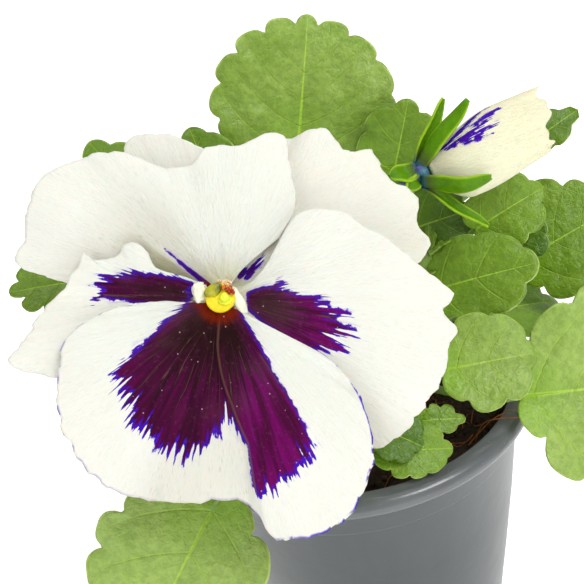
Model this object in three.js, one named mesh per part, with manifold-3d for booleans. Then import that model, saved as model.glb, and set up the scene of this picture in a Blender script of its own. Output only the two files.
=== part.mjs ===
// A pansy in a small round nursery pot: leafy stems with scalloped leaves, an open bloom and a furled one.
// Millimetres, +Z up. The origin is the centre of the pot's flat base. The open bloom looks along -Y, and up.
import * as THREE from 'three';
import { mergeVertices } from 'three/addons/utils/BufferGeometryUtils.js';
import Module from 'manifold-3d';

const wasm = await Module();
wasm.setup();

// ---- Driving dimensions: pot and soil ----
const POT_HEIGHT = 80;
const RIM_RADIUS = 45;
const MOUTH_RADIUS = 39.4;
const BASE_RADIUS = 29;
const WALL = 1.5;
const FLOOR = 1.5;
const LIP_HEIGHT = 4.2;
const COLLAR_DEPTH = 11.5;
const POT_SIDES = 36;
const DRAIN_HOLES = 6;
const DRAIN_RADIUS = 3;
const DRAIN_RING = 17;
const DRAIN_SIDES = 12;
const SOIL_DEPTH_BELOW_RIM = 10;
const SOIL_CROWN = 1.5;
const SOIL_LUMP = 0.8;
const STEM_HOLE_SIDES = 8;
const STEM_HOLE_HEIGHT = 20;
const CLEARANCE = 0.3;

// ---- Driving dimensions: stems, leaves and stalks ----
const STEM_FOOT = 62;
const STEM_BEND = 75;
const STEM_RADIUS = 1.5;
const PETIOLE_RADIUS = 0.9;
const STALK_RADIUS = 1.3;
const LEAF_HALF_THICKNESS = 0.35;
const SMALL_LEAF = 15;
const SEPAL_FOOT = 2;
const TOOTH_COLUMNS = 3;
const TUBE_SIDES = 5;
const STEM_STEPS = 7;
const LEAF_STALK_STEPS = 4;
const FLOWER_STALK_STEPS = 12;
const CUP_SIDES = 10;

// ---- Driving dimensions: the open bloom, in its own face frame (x right, y up, z towards the viewer) ----
const BLOOM_CENTRE = [-22, -48, 138];
const BLOOM_FORWARD = [0, -0.883, 0.469];
const BLOOM_UP = [0.216, 0.458, 0.862];
const BLOOM_RADIUS = 40;
const PETAL_HALF_THICKNESS = 0.35;
const PETAL_COLUMNS = 22;
const PETAL_ROWS = 5;
const CLAW_RADIUS = 2.3;
const STYLE_RADIUS = 1.9;
const STYLE_BACK = -4.2;
const STYLE_FRONT = 5.4;
const STYLE_HEAD = 2.6;
const STYLE_SIDES = 12;

// ---- Driving dimensions: the half-furled bloom, in its own frame (z along its axis, y up) ----
const BUD_BASE = [24.3, -16.1, 140];
const BUD_AXIS = [0.984, 0.083, 0.157];
const BUD_UP = [-0.177, 0.462, 0.869];
const BUD_LENGTH = 26;
const BUD_COLUMNS = 26;
const BUD_ROWS = 5;

const vec = ([x, y, z]) => new THREE.Vector3(x, y, z);
const radians = THREE.MathUtils.degToRad;

// ---- Closed bodies: welding, joining and cutting ----
function bodyOf(geometry) {
  const bare = geometry.clone();
  bare.deleteAttribute('normal');
  bare.deleteAttribute('uv');
  const welded = mergeVertices(bare, 1e-4);
  const vertProperties = new Float32Array(welded.attributes.position.array);
  const triVerts = new Uint32Array(welded.index.array);
  return new wasm.Manifold(new wasm.Mesh({ numProp: 3, vertProperties, triVerts }));
}

function geometryOf(body) {
  const mesh = body.getMesh();
  const geometry = new THREE.BufferGeometry();
  geometry.setAttribute('position', new THREE.BufferAttribute(mesh.vertProperties, 3));
  geometry.setIndex(new THREE.BufferAttribute(mesh.triVerts, 1));
  geometry.computeVertexNormals();
  return geometry;
}

function fuse(geometries) {
  return geometryOf(geometries.map(bodyOf).reduce((whole, next) => whole.add(next)));
}

function cut(geometry, cutters) {
  return geometryOf(cutters.map(bodyOf).reduce((whole, next) => whole.subtract(next), bodyOf(geometry)));
}

// ---- Round tubes along a curve, for stems, leaf stalks and flower stalks ----
function tube(curve, radius, steps, sides = TUBE_SIDES) {
  const middle = new THREE.Vector2();
  const corner = (i) => new THREE.Vector2(radius, 0).rotateAround(middle, (2 * Math.PI * i) / sides);
  const section = new THREE.Shape(Array.from({ length: sides }, (_, i) => corner(i)));
  return new THREE.ExtrudeGeometry(section, { extrudePath: curve, steps, bevelEnabled: false });
}

// ---- Thin blades: the same triangles on both faces, joined round the rim ----
// middle: points of the blade's middle surface. triangles: index triples facing +lift. rim: the edge points
// in order, anticlockwise seen from +lift. lift: half the thickness, as a vector or one for each point.
function blade(middle, triangles, rim, lift) {
  const count = middle.length;
  const lifts = Array.isArray(lift) ? lift : middle.map(() => lift);
  const upper = middle.map((point, i) => point.clone().add(lifts[i]));
  const under = middle.map((point, i) => point.clone().sub(lifts[i]));
  const index = [];
  for (const [a, b, c] of triangles) {
    index.push(a, b, c, a + count, c + count, b + count);
  }
  rim.forEach((a, i) => {
    const b = rim[(i + 1) % rim.length];
    index.push(a, a + count, b + count, a, b + count, b);
  });
  const geometry = new THREE.BufferGeometry().setFromPoints([...upper, ...under]);
  geometry.setIndex(index);
  return geometry;
}

// A blade over a grid: place(u, v) gives the middle surface, u across and v along, each from 0 to 1.
function gridBlade(columns, rows, place, lift) {
  const at = (i, j) => j * (columns + 1) + i;
  const middle = [];
  const lifts = [];
  for (let j = 0; j <= rows; j++) {
    for (let i = 0; i <= columns; i++) {
      middle.push(place(i / columns, j / rows));
      lifts.push(lift(i / columns, j / rows));
    }
  }
  const triangles = [];
  for (let j = 0; j < rows; j++) {
    for (let i = 0; i < columns; i++) {
      triangles.push([at(i, j), at(i + 1, j), at(i + 1, j + 1)], [at(i, j), at(i + 1, j + 1), at(i, j + 1)]);
    }
  }
  const rim = [];
  for (let i = 0; i < columns; i++) rim.push(at(i, 0));
  for (let j = 0; j < rows; j++) rim.push(at(columns, j));
  for (let i = columns; i > 0; i--) rim.push(at(i, rows));
  for (let j = rows; j > 0; j--) rim.push(at(0, j));
  return blade(middle, triangles, rim, lifts);
}

// A blade round a middle point: place(turn, reach) gives the middle surface, turn from 0 to 1 round it.
function fanBlade(columns, reaches, place, lift) {
  const at = (i, ring) => 1 + ring * columns + (i % columns);
  const middle = [place(0, 0)];
  for (const reach of reaches) {
    for (let i = 0; i < columns; i++) middle.push(place(i / columns, reach));
  }
  const triangles = [];
  for (let i = 0; i < columns; i++) {
    triangles.push([0, at(i, 0), at(i + 1, 0)]);
    for (let ring = 0; ring + 1 < reaches.length; ring++) {
      const [a, b, c, d] = [at(i, ring), at(i, ring + 1), at(i + 1, ring + 1), at(i + 1, ring)];
      triangles.push([a, b, c], [a, c, d]);
    }
  }
  const rim = Array.from({ length: columns }, (_, i) => at(i, reaches.length - 1));
  return blade(middle, triangles, rim, lift);
}

// ---- Leaves ----
// A leaf lies from `at` (where its stalk joins) to `tip`, its upper face towards `face`, `wide` across, with
// `teeth` scallops on each side, cut `deep` of the way in. Its sides rise by `fold`, and it arches by `arch`
// of its length. A leaf with a `wedge` is narrower by that share between its stalk and its widest place.
const LEAF_HEART = 0.46;
const SCALLOP_POWER = 0.7;
const WEDGE_FROM = Math.PI / 2;
const FOLD_EASE = 0.35;
const EDGE_WAVE = 0.03;

function leafOutline(leaf, angle) {
  const ahead = Math.cos(angle) > 0 ? 1 - LEAF_HEART : LEAF_HEART;
  const along = Math.cos(angle) / (ahead * leaf.length);
  const across = Math.sin(angle) / (leaf.wide / 2);
  const behind = Math.max(0, Math.abs(angle) - WEDGE_FROM) / (Math.PI - WEDGE_FROM);
  const narrow = 1 - leaf.wedge * Math.sin(Math.PI * behind);
  const scallop = Math.abs(Math.cos((leaf.teeth + 0.5) * angle)) ** SCALLOP_POWER;
  return (narrow * (1 - leaf.deep * (1 - scallop))) / Math.hypot(along, across);
}

function leafHeight(leaf, x, y, reach, angle) {
  const arch = leaf.arch * x * (1 - x / leaf.length) * 4;
  const fold = leaf.fold * Math.abs(y) * (1 - FOLD_EASE * (Math.abs(y) / leaf.wide));
  const wave = EDGE_WAVE * leaf.wide * Math.sin(3 * angle + leaf.wide) * reach ** 2;
  return arch + fold + wave;
}

function leafFrame(leaf) {
  const x = vec(leaf.tip).sub(vec(leaf.at)).normalize();
  const z = vec(leaf.face).addScaledVector(x, -vec(leaf.face).dot(x)).normalize();
  const y = new THREE.Vector3().crossVectors(z, x);
  return new THREE.Matrix4().makeBasis(x, y, z).setPosition(...leaf.at);
}

const LEAF_HABIT = { deep: 0.14, fold: 0.16, arch: 0.06, wedge: 0 };
const wholeLeaf = (leaf) => ({ ...LEAF_HABIT, ...leaf, length: vec(leaf.tip).distanceTo(vec(leaf.at)) });

function leafBlade(leaf) {
  const place = (turn, reach) => {
    const angle = Math.PI * (2 * turn - 1);
    const smooth = leafOutline({ ...leaf, deep: 0 }, angle);
    const radius = THREE.MathUtils.lerp(smooth, leafOutline(leaf, angle), reach ** 3) * reach;
    const x = LEAF_HEART * leaf.length + radius * Math.cos(angle);
    const y = radius * Math.sin(angle);
    return new THREE.Vector3(x, y, leafHeight(leaf, x, y, reach, angle));
  };
  const reaches = leaf.wide < SMALL_LEAF ? [1] : [0.6, 1];
  const lift = new THREE.Vector3(0, 0, LEAF_HALF_THICKNESS);
  return fanBlade(TOOTH_COLUMNS * (2 * leaf.teeth + 1), reaches, place, lift).applyMatrix4(leafFrame(leaf));
}

// A leaf stalk springs from the stem at `from` (0 foot, 1 top) and runs on under the blade as its midrib.
function leafStalk(leaf, stem) {
  const frame = leafFrame(leaf);
  const under = (share) => {
    const x = share * leaf.length;
    return new THREE.Vector3(x, 0, leafHeight(leaf, x, 0, 0, 0) - LEAF_HALF_THICKNESS).applyMatrix4(frame);
  };
  const route = [stem.getPoint(leaf.from), under(-0.08), under(0.12)];
  return tube(new THREE.CatmullRomCurve3(route), PETIOLE_RADIUS, LEAF_STALK_STEPS);
}

// A leafy stem stands straight in the soil, then bends out along its route.
function leafyStem({ foot, route, leaves }) {
  const [x, y] = foot;
  const lower = [STEM_FOOT, (STEM_FOOT + STEM_BEND) / 2, STEM_BEND].map((z) => new THREE.Vector3(x, y, z));
  const stem = new THREE.CatmullRomCurve3([...lower, ...route.map(vec)]);
  const blades = leaves.map(wholeLeaf).map(leafBlade);
  const stalks = leaves.map(wholeLeaf).map((leaf) => leafStalk(leaf, stem));
  return fuse([tube(stem, STEM_RADIUS, STEM_STEPS), ...stalks, ...blades]);
}

// ---- The leafy stems, each in its own sector of the crown ----
const LEAFY_STEMS = {
  leafy_stem_front_right: {
    foot: [9, -9],
    route: [[12, -14, 84], [15, -18, 90]],
    leaves: [
      { from: 0.95, at: [32.8, -28, 87.2], tip: [68.8, -24, 80.2], face: [0.15, -0.85, 0.5], wide: 47,
        teeth: 4, deep: 0.2, wedge: 0.12 },
      { from: 0.98, at: [18.5, -25.7, 96.5], tip: [41, -26.7, 96.5], face: [0.1, -0.75, 0.65], wide: 22.5,
        teeth: 3 },
      { from: 0.7, at: [1.5, -33, 91.5], tip: [11.5, -38, 86.5], face: [0.3, -0.7, 0.65], wide: 13,
        teeth: 3 },
      { from: 0.6, at: [0.3, -36, 86.6], tip: [17.8, -37, 83.8], face: [0.1, -0.75, 0.65], wide: 12.5,
        teeth: 4 },
      { from: 0.8, at: [10.5, -31, 88.8], tip: [22.5, -32, 87], face: [0.2, -0.7, 0.7], wide: 7,
        teeth: 3, deep: 0.3 },
    ],
  },
  leafy_stem_right: {
    foot: [13, -1],
    route: [[16, -2, 95], [20, -3, 108], [24, -3, 114]],
    leaves: [
      { from: 0.85, at: [20.3, -5, 105], tip: [46.8, -15, 112], face: [0.05, -0.75, 0.65], wide: 21,
        teeth: 3 },
      { from: 1, at: [34, -3, 117], tip: [52, -4, 125], face: [0.1, -0.8, 0.6], wide: 18, teeth: 3 },
      { from: 0.97, at: [20.5, 4, 117.5], tip: [37, 2, 120.5], face: [0.1, -0.8, 0.6], wide: 17.5, teeth: 3 },
      { from: 0.5, at: [33, 2, 91], tip: [57, 9, 86], face: [0.2, -0.3, 0.93], wide: 22, teeth: 3 },
      { from: 0.35, at: [22, -6, 84], tip: [36, -8, 88], face: [0, -0.2, 0.98], wide: 14, teeth: 3 },
      { from: 0.8, at: [40, 1, 108], tip: [53, -1, 114], face: [0.1, -0.8, 0.6], wide: 14, teeth: 3 },
    ],
  },
  leafy_stem_back_right: {
    foot: [9, 9],
    route: [[14, 11, 92], [24, 14, 108], [34, 15, 116]],
    leaves: [
      { from: 0.8, at: [46, 8, 99.5], tip: [72, 8, 109.5], face: [-0.1, -0.75, 0.65], wide: 31, teeth: 4 },
      { from: 1, at: [53, 18, 125], tip: [69, 20, 132], face: [0.1, -0.7, 0.7], wide: 10,
        teeth: 2, deep: 0.25 },
      { from: 0.85, at: [20, 13, 126], tip: [27, 12, 147], face: [0, -0.8, 0.6], wide: 20, teeth: 3 },
      { from: 0.5, at: [34, 24, 92], tip: [58, 40, 86], face: [0.2, 0.2, 0.95], wide: 28, teeth: 4 },
      { from: 0.35, at: [22, 14, 84], tip: [39, 18, 87], face: [0, 0, 1], wide: 14, teeth: 3 },
      { from: 0.7, at: [30, 30, 108], tip: [46, 50, 110], face: [0.1, 0.3, 0.95], wide: 26, teeth: 4 },
    ],
  },
  leafy_stem_back: {
    foot: [-1, 13],
    route: [[-1, 16, 100], [-1, 19, 124]],
    leaves: [
      { from: 1, at: [-1.5, 19.5, 133.2], tip: [8.5, 24.5, 168], face: [0.05, -0.93, 0.35], wide: 44,
        teeth: 7,
        deep: 0.1 },
      { from: 0.8, at: [-4, 32, 116], tip: [-8, 58, 122], face: [0, 0.3, 0.95], wide: 30, teeth: 5 },
      { from: 0.6, at: [10, 32, 98], tip: [18, 60, 98], face: [0.1, 0.2, 0.97], wide: 30, teeth: 5 },
      { from: 0.35, at: [-5, 20, 94], tip: [-11, 34, 103], face: [0, 0.2, 0.98], wide: 14, teeth: 3 },
      { from: 0.4, at: [-8, 32, 88], tip: [-16, 60, 80], face: [0, 0.35, 0.93], wide: 30, teeth: 5 },
    ],
  },
  leafy_stem_back_left: {
    foot: [-10, 8],
    route: [[-15, 12, 96], [-20, 14, 118]],
    leaves: [
      { from: 1, at: [-20, 14, 128], tip: [-24, 13, 151], face: [-0.1, -0.8, 0.6], wide: 18, teeth: 3 },
      { from: 0.95, at: [-35, 6, 136], tip: [-45, 0, 157], face: [-0.3, -0.7, 0.6], wide: 18, teeth: 3 },
      { from: 0.75, at: [-30, 26, 112], tip: [-46, 44, 118], face: [-0.2, 0.3, 0.93], wide: 26, teeth: 4 },
      { from: 0.35, at: [-18, 18, 86], tip: [-28, 31, 98], face: [0, 0.1, 1], wide: 14, teeth: 3 },
      { from: 0.5, at: [-34, 24, 92], tip: [-56, 38, 86], face: [-0.2, 0.2, 0.95], wide: 28, teeth: 4 },
    ],
  },
  leafy_stem_left: {
    foot: [-13, -3],
    route: [[-18, -4, 94], [-30, -6, 112], [-40, -8, 122]],
    leaves: [
      { from: 1, at: [-50, -12, 130], tip: [-68.5, -15, 132.8], face: [-0.1, -0.6, 0.8], wide: 14.5,
        teeth: 4, deep: 0.28 },
      { from: 0.8, at: [-42, 2, 112], tip: [-66, 12, 112], face: [-0.2, 0.1, 0.97], wide: 28, teeth: 4 },
      { from: 0.35, at: [-22, 2, 86], tip: [-37, 10, 94], face: [0, 0, 1], wide: 14, teeth: 3 },
      { from: 0.5, at: [-38, -4, 90], tip: [-62, -4, 84], face: [-0.2, -0.1, 0.97], wide: 28, teeth: 4 },
    ],
  },
  leafy_stem_front_left: {
    foot: [-8, -12],
    route: [[-14, -20, 90], [-24, -32, 98]],
    leaves: [
      { from: 1, at: [-31, -47, 95], tip: [-57, -57, 64], face: [-0.1, -0.85, 0.5], wide: 39, teeth: 5 },
      { from: 0.75, at: [-36, -26, 96], tip: [-60, -32, 96], face: [-0.2, -0.5, 0.84], wide: 24, teeth: 4 },
      { from: 0.35, at: [-20, -18, 85], tip: [-36, -20, 89], face: [0, 0, 1], wide: 14, teeth: 3 },
      { from: 0.6, at: [-10, -32, 92], tip: [-14, -54, 88], face: [0, -0.4, 0.9], wide: 24, teeth: 4 },
    ],
  },
};

// ---- Flowers ----
// The frame of a flower: z along the way it opens, y up. Its pieces are placed in this group.
function flowerFrame(centre, forward, up) {
  const z = vec(forward).normalize();
  const y = vec(up).addScaledVector(z, -vec(up).dot(z)).normalize();
  const group = new THREE.Group();
  group.position.set(...centre);
  group.quaternion.setFromRotationMatrix(new THREE.Matrix4().makeBasis(y.clone().cross(z), y, z));
  group.updateMatrix();
  return group;
}

const polar = (degrees, radius) =>
  new THREE.Vector3(radius * Math.cos(radians(degrees)), radius * Math.sin(radians(degrees)), 0);

// A petal spreads from its claw, an arc round the flower's middle, to `edge`: corners as [degrees, radius].
// It lies at the height `layer`, leans forward by `lean` at its edge, bulges by `bulge` and waves by `wave`.
const PETALS = {
  upper_right_petal: {
    layer: -3.7, lean: -5.4, bulge: 0.3, wave: 0.7, frills: 5, claw: [35, 80],
    edge: [[12, 22], [9, 36], [14, 41], [22, 40], [27, 42], [37, 39], [44, 40.5], [51, 36.7], [59, 38],
      [68, 33], [85, 28], [99, 29], [109, 33.3], [122, 35.5], [128, 28], [122, 14]],
  },
  upper_left_petal: {
    layer: -1.7, lean: -2.6, bulge: 1.2, wave: 0.6, frills: 5, claw: [54, 150],
    edge: [[46, 15.5], [51, 22], [64, 28.6], [69, 32.7], [75, 32], [82, 29], [96, 28.3], [104, 25.5],
      [115, 27], [125, 33.5], [140, 39.2], [145, 41], [158, 40.5], [164, 39], [170, 40.2], [173, 34],
      [176, 22], [172, 12]],
  },
  left_petal: {
    layer: 0.2, lean: 0.6, bulge: 0.9, wave: 0.6, frills: 4, claw: [142, 205],
    edge: [[149, 15.8], [147, 18.8], [151, 20.3], [157, 20.6], [163.5, 24.6], [162, 26.6], [168, 27.2],
      [179, 30], [185, 33.7], [190, 36], [197, 40.7], [201, 37.7], [206, 34], [212, 27], [216, 15]],
  },
  right_petal: {
    layer: 0.2, lean: 0.4, bulge: 0.8, wave: 0.6, frills: 5, claw: [-48, 37],
    edge: [[50, 20], [46, 23.2], [37, 27], [29, 29], [21, 32], [9.5, 37], [1, 42.9], [-3.5, 41.6],
      [-8.5, 43.8], [-12, 42.6], [-18, 43.8], [-27, 42.7], [-38, 41.6], [-45, 39.4], [-52, 33], [-56, 20],
      [-54, 10]],
  },
  lower_petal: {
    layer: 1.9, lean: 2.6, bulge: 1.4, wave: 0.6, frills: 5, claw: [206, 318],
    edge: [[184, 10], [185, 18.6], [194, 28.4], [204, 32.2], [216, 36], [231, 39.1], [242, 40], [257, 38],
      [270, 36.8], [279, 38.5], [283, 44.8], [293, 45.9], [300, 45.7], [310, 42.2], [317, 37.7],
      [325, 31], [330, 23.7], [329, 12]],
  },
};

function petal({ layer, lean, bulge, wave, frills, claw, edge }) {
  const rising = edge[0][0] < edge[edge.length - 1][0];
  const outline = new THREE.CatmullRomCurve3(edge.map(([degrees, radius]) => polar(degrees, radius)));
  const [first, last] = rising ? claw : [claw[1], claw[0]];
  const place = (u, v) => {
    const root = polar(THREE.MathUtils.lerp(first, last, u), CLAW_RADIUS);
    const point = root.lerp(outline.getPointAt(u), v);
    const reach = point.length() / BLOOM_RADIUS;
    const ripple = wave * Math.sin(2 * Math.PI * frills * u) * v ** 3 * reach;
    const swell = bulge * Math.sin(Math.PI * u) * Math.sin(Math.PI * v);
    return point.setZ(layer + lean * reach ** 2 + swell + ripple);
  };
  const thick = () => new THREE.Vector3(0, 0, rising ? -PETAL_HALF_THICKNESS : PETAL_HALF_THICKNESS);
  return gridBlade(PETAL_COLUMNS, PETAL_ROWS, place, thick);
}

// The flower's middle: a column that the petals' claws stand round, with a rounded head.
function styleColumn() {
  const outline = [
    [0, STYLE_BACK],
    [STYLE_RADIUS, STYLE_BACK],
    [STYLE_RADIUS, STYLE_FRONT - STYLE_HEAD],
    [STYLE_HEAD, STYLE_FRONT - STYLE_HEAD * 0.6],
    [STYLE_HEAD * 0.9, STYLE_FRONT - STYLE_HEAD * 0.2],
    [STYLE_HEAD * 0.5, STYLE_FRONT],
    [0, STYLE_FRONT + STYLE_HEAD * 0.15],
  ].map(([radius, height]) => new THREE.Vector2(radius, height));
  return new THREE.LatheGeometry(outline, STYLE_SIDES).rotateX(Math.PI / 2);
}

// A narrow pointed sepal from the flower's foot: `around` and `rise` in degrees, bowed out by `bow`, and
// turned about its own length by `twist`, in degrees.
function sepal({ around, rise, length, wide, height, bow = 0, twist = 0 }) {
  const place = (u, v) => {
    const across = (0.5 - u) * wide * Math.sin(Math.PI * (0.14 + 0.82 * v)) ** 0.6;
    return new THREE.Vector3(length * v, across, -bow * Math.sin(Math.PI * v));
  };
  const lift = () => new THREE.Vector3(0, 0, LEAF_HALF_THICKNESS);
  return gridBlade(2, 4, place, lift)
    .rotateX(radians(twist))
    .rotateY(-radians(rise))
    .translate(SEPAL_FOOT, 0, 0)
    .rotateZ(radians(around))
    .translate(0, 0, height);
}

// A flower stalk stands in the soil, bends out along its route and carries the calyx, all one green piece.
function flowerStalk({ foot, route, sepals, calyx }, frame) {
  const [x, y] = foot;
  const lower = [STEM_FOOT, (STEM_FOOT + STEM_BEND) / 2, STEM_BEND].map((z) => new THREE.Vector3(x, y, z));
  const onAxis = (z) => new THREE.Vector3(0, 0, z).applyMatrix4(frame.matrix);
  const end = [calyx.back - 2, calyx.back + 1].map(onAxis);
  const curve = new THREE.CatmullRomCurve3([...lower, ...route.map(vec), ...end]);
  const cup = [
    [0, calyx.back],
    [calyx.radius * 0.6, calyx.back],
    [calyx.radius, calyx.back + 1.6],
    [calyx.radius, calyx.front],
    [0, calyx.front],
  ].map(([radius, height]) => new THREE.Vector2(radius, height));
  const receptacle = new THREE.LatheGeometry(cup, CUP_SIDES).rotateX(Math.PI / 2);
  const blades = sepals.map((one) => sepal({ ...calyx, ...one }));
  const head = [receptacle, ...blades].map((piece) => piece.applyMatrix4(frame.matrix));
  return fuse([tube(curve, STALK_RADIUS, FLOWER_STALK_STEPS), ...head]);
}

// The half-furled petals: one thin sheet rolled round the axis, fuller below near its foot and above at its
// mouth. It swells by `full` within `above` or `below` of its foot, and draws in by `mouth` below from
// `waist` on. The mouth's edge is longer above by `lip` of the length and waves by `frill` of it.
const BUD = {
  turns: 1.25, start: 300, growth: 2.2, flat: 0.7, foot: 0.5, neck: 1.9, full: 6, above: 17, below: 7,
  mouth: 2.5, waist: 14, lip: 0.05, frill: 0.03,
};

function furledPetals() {
  const swell = (z, reach) => THREE.MathUtils.smoothstep(z, -reach * 0.35, reach);
  const place = (u, v) => {
    const angle = radians(BUD.start) + 2 * Math.PI * BUD.turns * u;
    const z = v * BUD_LENGTH * (1 + BUD.lip * Math.sin(angle) + BUD.frill * Math.sin(5 * angle));
    const above = BUD.neck + BUD.full * swell(z, BUD.above);
    const below = BUD.neck + BUD.full * swell(z, BUD.below) - BUD.mouth * swell(z - BUD.waist, BUD.waist);
    const radius = THREE.MathUtils.lerp(below, above, 0.5 + 0.5 * Math.sin(angle)) + BUD.growth * (u - 0.5);
    return new THREE.Vector3(BUD.flat * radius * Math.cos(angle), radius * Math.sin(angle), BUD.foot + z);
  };
  const lift = (u) => {
    const angle = radians(BUD.start) + 2 * Math.PI * BUD.turns * u;
    return new THREE.Vector3(Math.cos(angle), Math.sin(angle), 0).multiplyScalar(PETAL_HALF_THICKNESS);
  };
  return gridBlade(BUD_COLUMNS, BUD_ROWS, place, lift);
}

const OPEN_STALK = {
  foot: [0, -5],
  route: [[-5, -12, 96], [-14, -23, 114], [-20, -32, 127]],
  calyx: { back: -8.5, front: -4.5, radius: 2.6, height: -6, length: 13, wide: 4.4, rise: -8 },
  sepals: [{ around: 20 }, { around: 92 }, { around: 165 }, { around: 232 }, { around: 308 }],
};

const BUD_STALK = {
  foot: [2, 4],
  route: [[3, 4, 105], [6, -2, 128], [11, -10, 137], [15.5, -15, 139]],
  calyx: { back: -4, front: 0, radius: 2.6, height: -2, length: 14, wide: 3.6, rise: 40 },
  sepals: [
    { around: 90, rise: 45.5, length: 15.7, wide: 2.8, twist: -50 },
    { around: 120, rise: 55.7, length: 17.5, twist: 20 },
    { around: 225, rise: 59.4, length: 14.5, bow: 2 },
    { around: 270, rise: 34.4, length: 16.5, wide: 2.8, twist: 50 },
    { around: 20 },
  ],
};

// ---- Pot and soil ----
const COLLAR_RADIUS = RIM_RADIUS - 3.4;
const POT_TAPER = (COLLAR_RADIUS - BASE_RADIUS) / (POT_HEIGHT - LIP_HEIGHT);
const outerRadius = (z) => BASE_RADIUS + POT_TAPER * z;
const innerRadius = (z) => outerRadius(z) - WALL;

function potShell() {
  const lip = POT_HEIGHT - LIP_HEIGHT;
  const step = POT_HEIGHT - COLLAR_DEPTH;
  const outline = [
    [0, 0],
    [BASE_RADIUS - 1.5, 0],
    [BASE_RADIUS, 1.5],
    [outerRadius(step) - 0.5, step - 0.4],
    [outerRadius(step), step],
    [COLLAR_RADIUS, lip],
    [RIM_RADIUS - 0.9, lip],
    [RIM_RADIUS - 0.2, lip + 0.9],
    [RIM_RADIUS, lip + 2.2],
    [RIM_RADIUS - 0.6, lip + 3.5],
    [RIM_RADIUS - 1.6, POT_HEIGHT],
    [MOUTH_RADIUS + 1.2, POT_HEIGHT],
    [MOUTH_RADIUS + 0.3, POT_HEIGHT - 0.5],
    [MOUTH_RADIUS, POT_HEIGHT - 1.8],
    [innerRadius(step), step],
    [innerRadius(FLOOR), FLOOR],
    [0, FLOOR],
  ].map(([radius, height]) => new THREE.Vector2(radius, height));
  const shell = new THREE.LatheGeometry(outline, POT_SIDES).rotateX(Math.PI / 2);
  const drains = Array.from({ length: DRAIN_HOLES }, (_, i) => {
    const place = polar((360 / DRAIN_HOLES) * i, DRAIN_RING);
    return new THREE.CylinderGeometry(DRAIN_RADIUS, DRAIN_RADIUS, 4 * FLOOR, DRAIN_SIDES)
      .rotateX(Math.PI / 2)
      .translate(place.x, place.y, 0);
  });
  return cut(shell, drains);
}

// The gentle lumps of the peat's surface, about 1 high.
const lump = (x, y) => Math.sin(0.62 * x + 1.3) * Math.cos(0.55 * y) + 0.6 * Math.sin(0.9 * x - 0.8 * y);

function pottingSoil(feet) {
  const top = POT_HEIGHT - SOIL_DEPTH_BELOW_RIM;
  const bottom = FLOOR + CLEARANCE;
  const edge = innerRadius(top - 2) - CLEARANCE;
  const outline = [
    [0, bottom],
    [innerRadius(bottom) - CLEARANCE, bottom],
    [edge, top - 2],
    [edge, top],
    ...[0.82, 0.62, 0.42, 0.22, 0].map((share) => [edge * share, top + SOIL_CROWN * (1 - share)]),
  ].map(([radius, height]) => new THREE.Vector2(radius, height));
  const soil = new THREE.LatheGeometry(outline, POT_SIDES / 2).rotateX(Math.PI / 2);
  const points = soil.attributes.position;
  for (let i = 0; i < points.count; i++) {
    const [x, y, z] = [points.getX(i), points.getY(i), points.getZ(i)];
    const inside = 1 - (Math.hypot(x, y) / edge) ** 6;
    if (z >= top - 0.01) points.setZ(i, z + SOIL_LUMP * inside * lump(x, y));
  }
  const hole = STEM_RADIUS + 3 * CLEARANCE;
  const holes = feet.map(([x, y]) =>
    new THREE.CylinderGeometry(hole, hole, STEM_HOLE_HEIGHT, STEM_HOLE_SIDES)
      .rotateX(Math.PI / 2)
      .translate(x, y, STEM_FOOT - CLEARANCE + STEM_HOLE_HEIGHT / 2));
  return cut(soil, holes);
}

// ---- The part ----
const part = new THREE.Group();
const matt = (color, roughness) => new THREE.MeshStandardMaterial({ color, roughness, metalness: 0 });
const plastic = matt(0x5c5e60, 0.35);
const peat = matt(0x2a1a12, 0.95);
const leafGreen = matt(0x5f9a3c, 0.55);
const stalkGreen = matt(0x6f9a3a, 0.55);
const petalWhite = matt(0xf8f7ee, 0.6);
const petalCream = matt(0xf6f2d8, 0.6);
const styleYellow = matt(0xdcc81e, 0.5);

function add(name, geometry, material, parent = part) {
  const mesh = new THREE.Mesh(geometry, material);
  mesh.name = name;
  parent.add(mesh);
}

const feet = [...Object.values(LEAFY_STEMS), OPEN_STALK, BUD_STALK].map(({ foot }) => foot);
add('pot', potShell(), plastic);
add('potting_soil', pottingSoil(feet), peat);
for (const [name, stem] of Object.entries(LEAFY_STEMS)) add(name, leafyStem(stem), leafGreen);

const openFlower = flowerFrame(BLOOM_CENTRE, BLOOM_FORWARD, BLOOM_UP);
part.add(openFlower);
add('open_bloom_stalk', flowerStalk(OPEN_STALK, openFlower), stalkGreen);
for (const [name, shape] of Object.entries(PETALS)) add(name, petal(shape), petalWhite, openFlower);
add('flower_middle', styleColumn(), styleYellow, openFlower);

const furledFlower = flowerFrame(BUD_BASE, BUD_AXIS, BUD_UP);
part.add(furledFlower);
add('furled_bloom_stalk', flowerStalk(BUD_STALK, furledFlower), stalkGreen);
add('furled_petals', furledPetals(), petalCream, furledFlower);

export default part;
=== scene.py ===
# A pansy in a small round nursery pot: seven leafy stems, one open bloom and one half-furled bloom.
# Each piece is drawn in millimetres, in the row frame, and is brought to metres when it is finished.
import math
import random

import bmesh
import bpy
from mathutils import Matrix, Vector, noise


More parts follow.
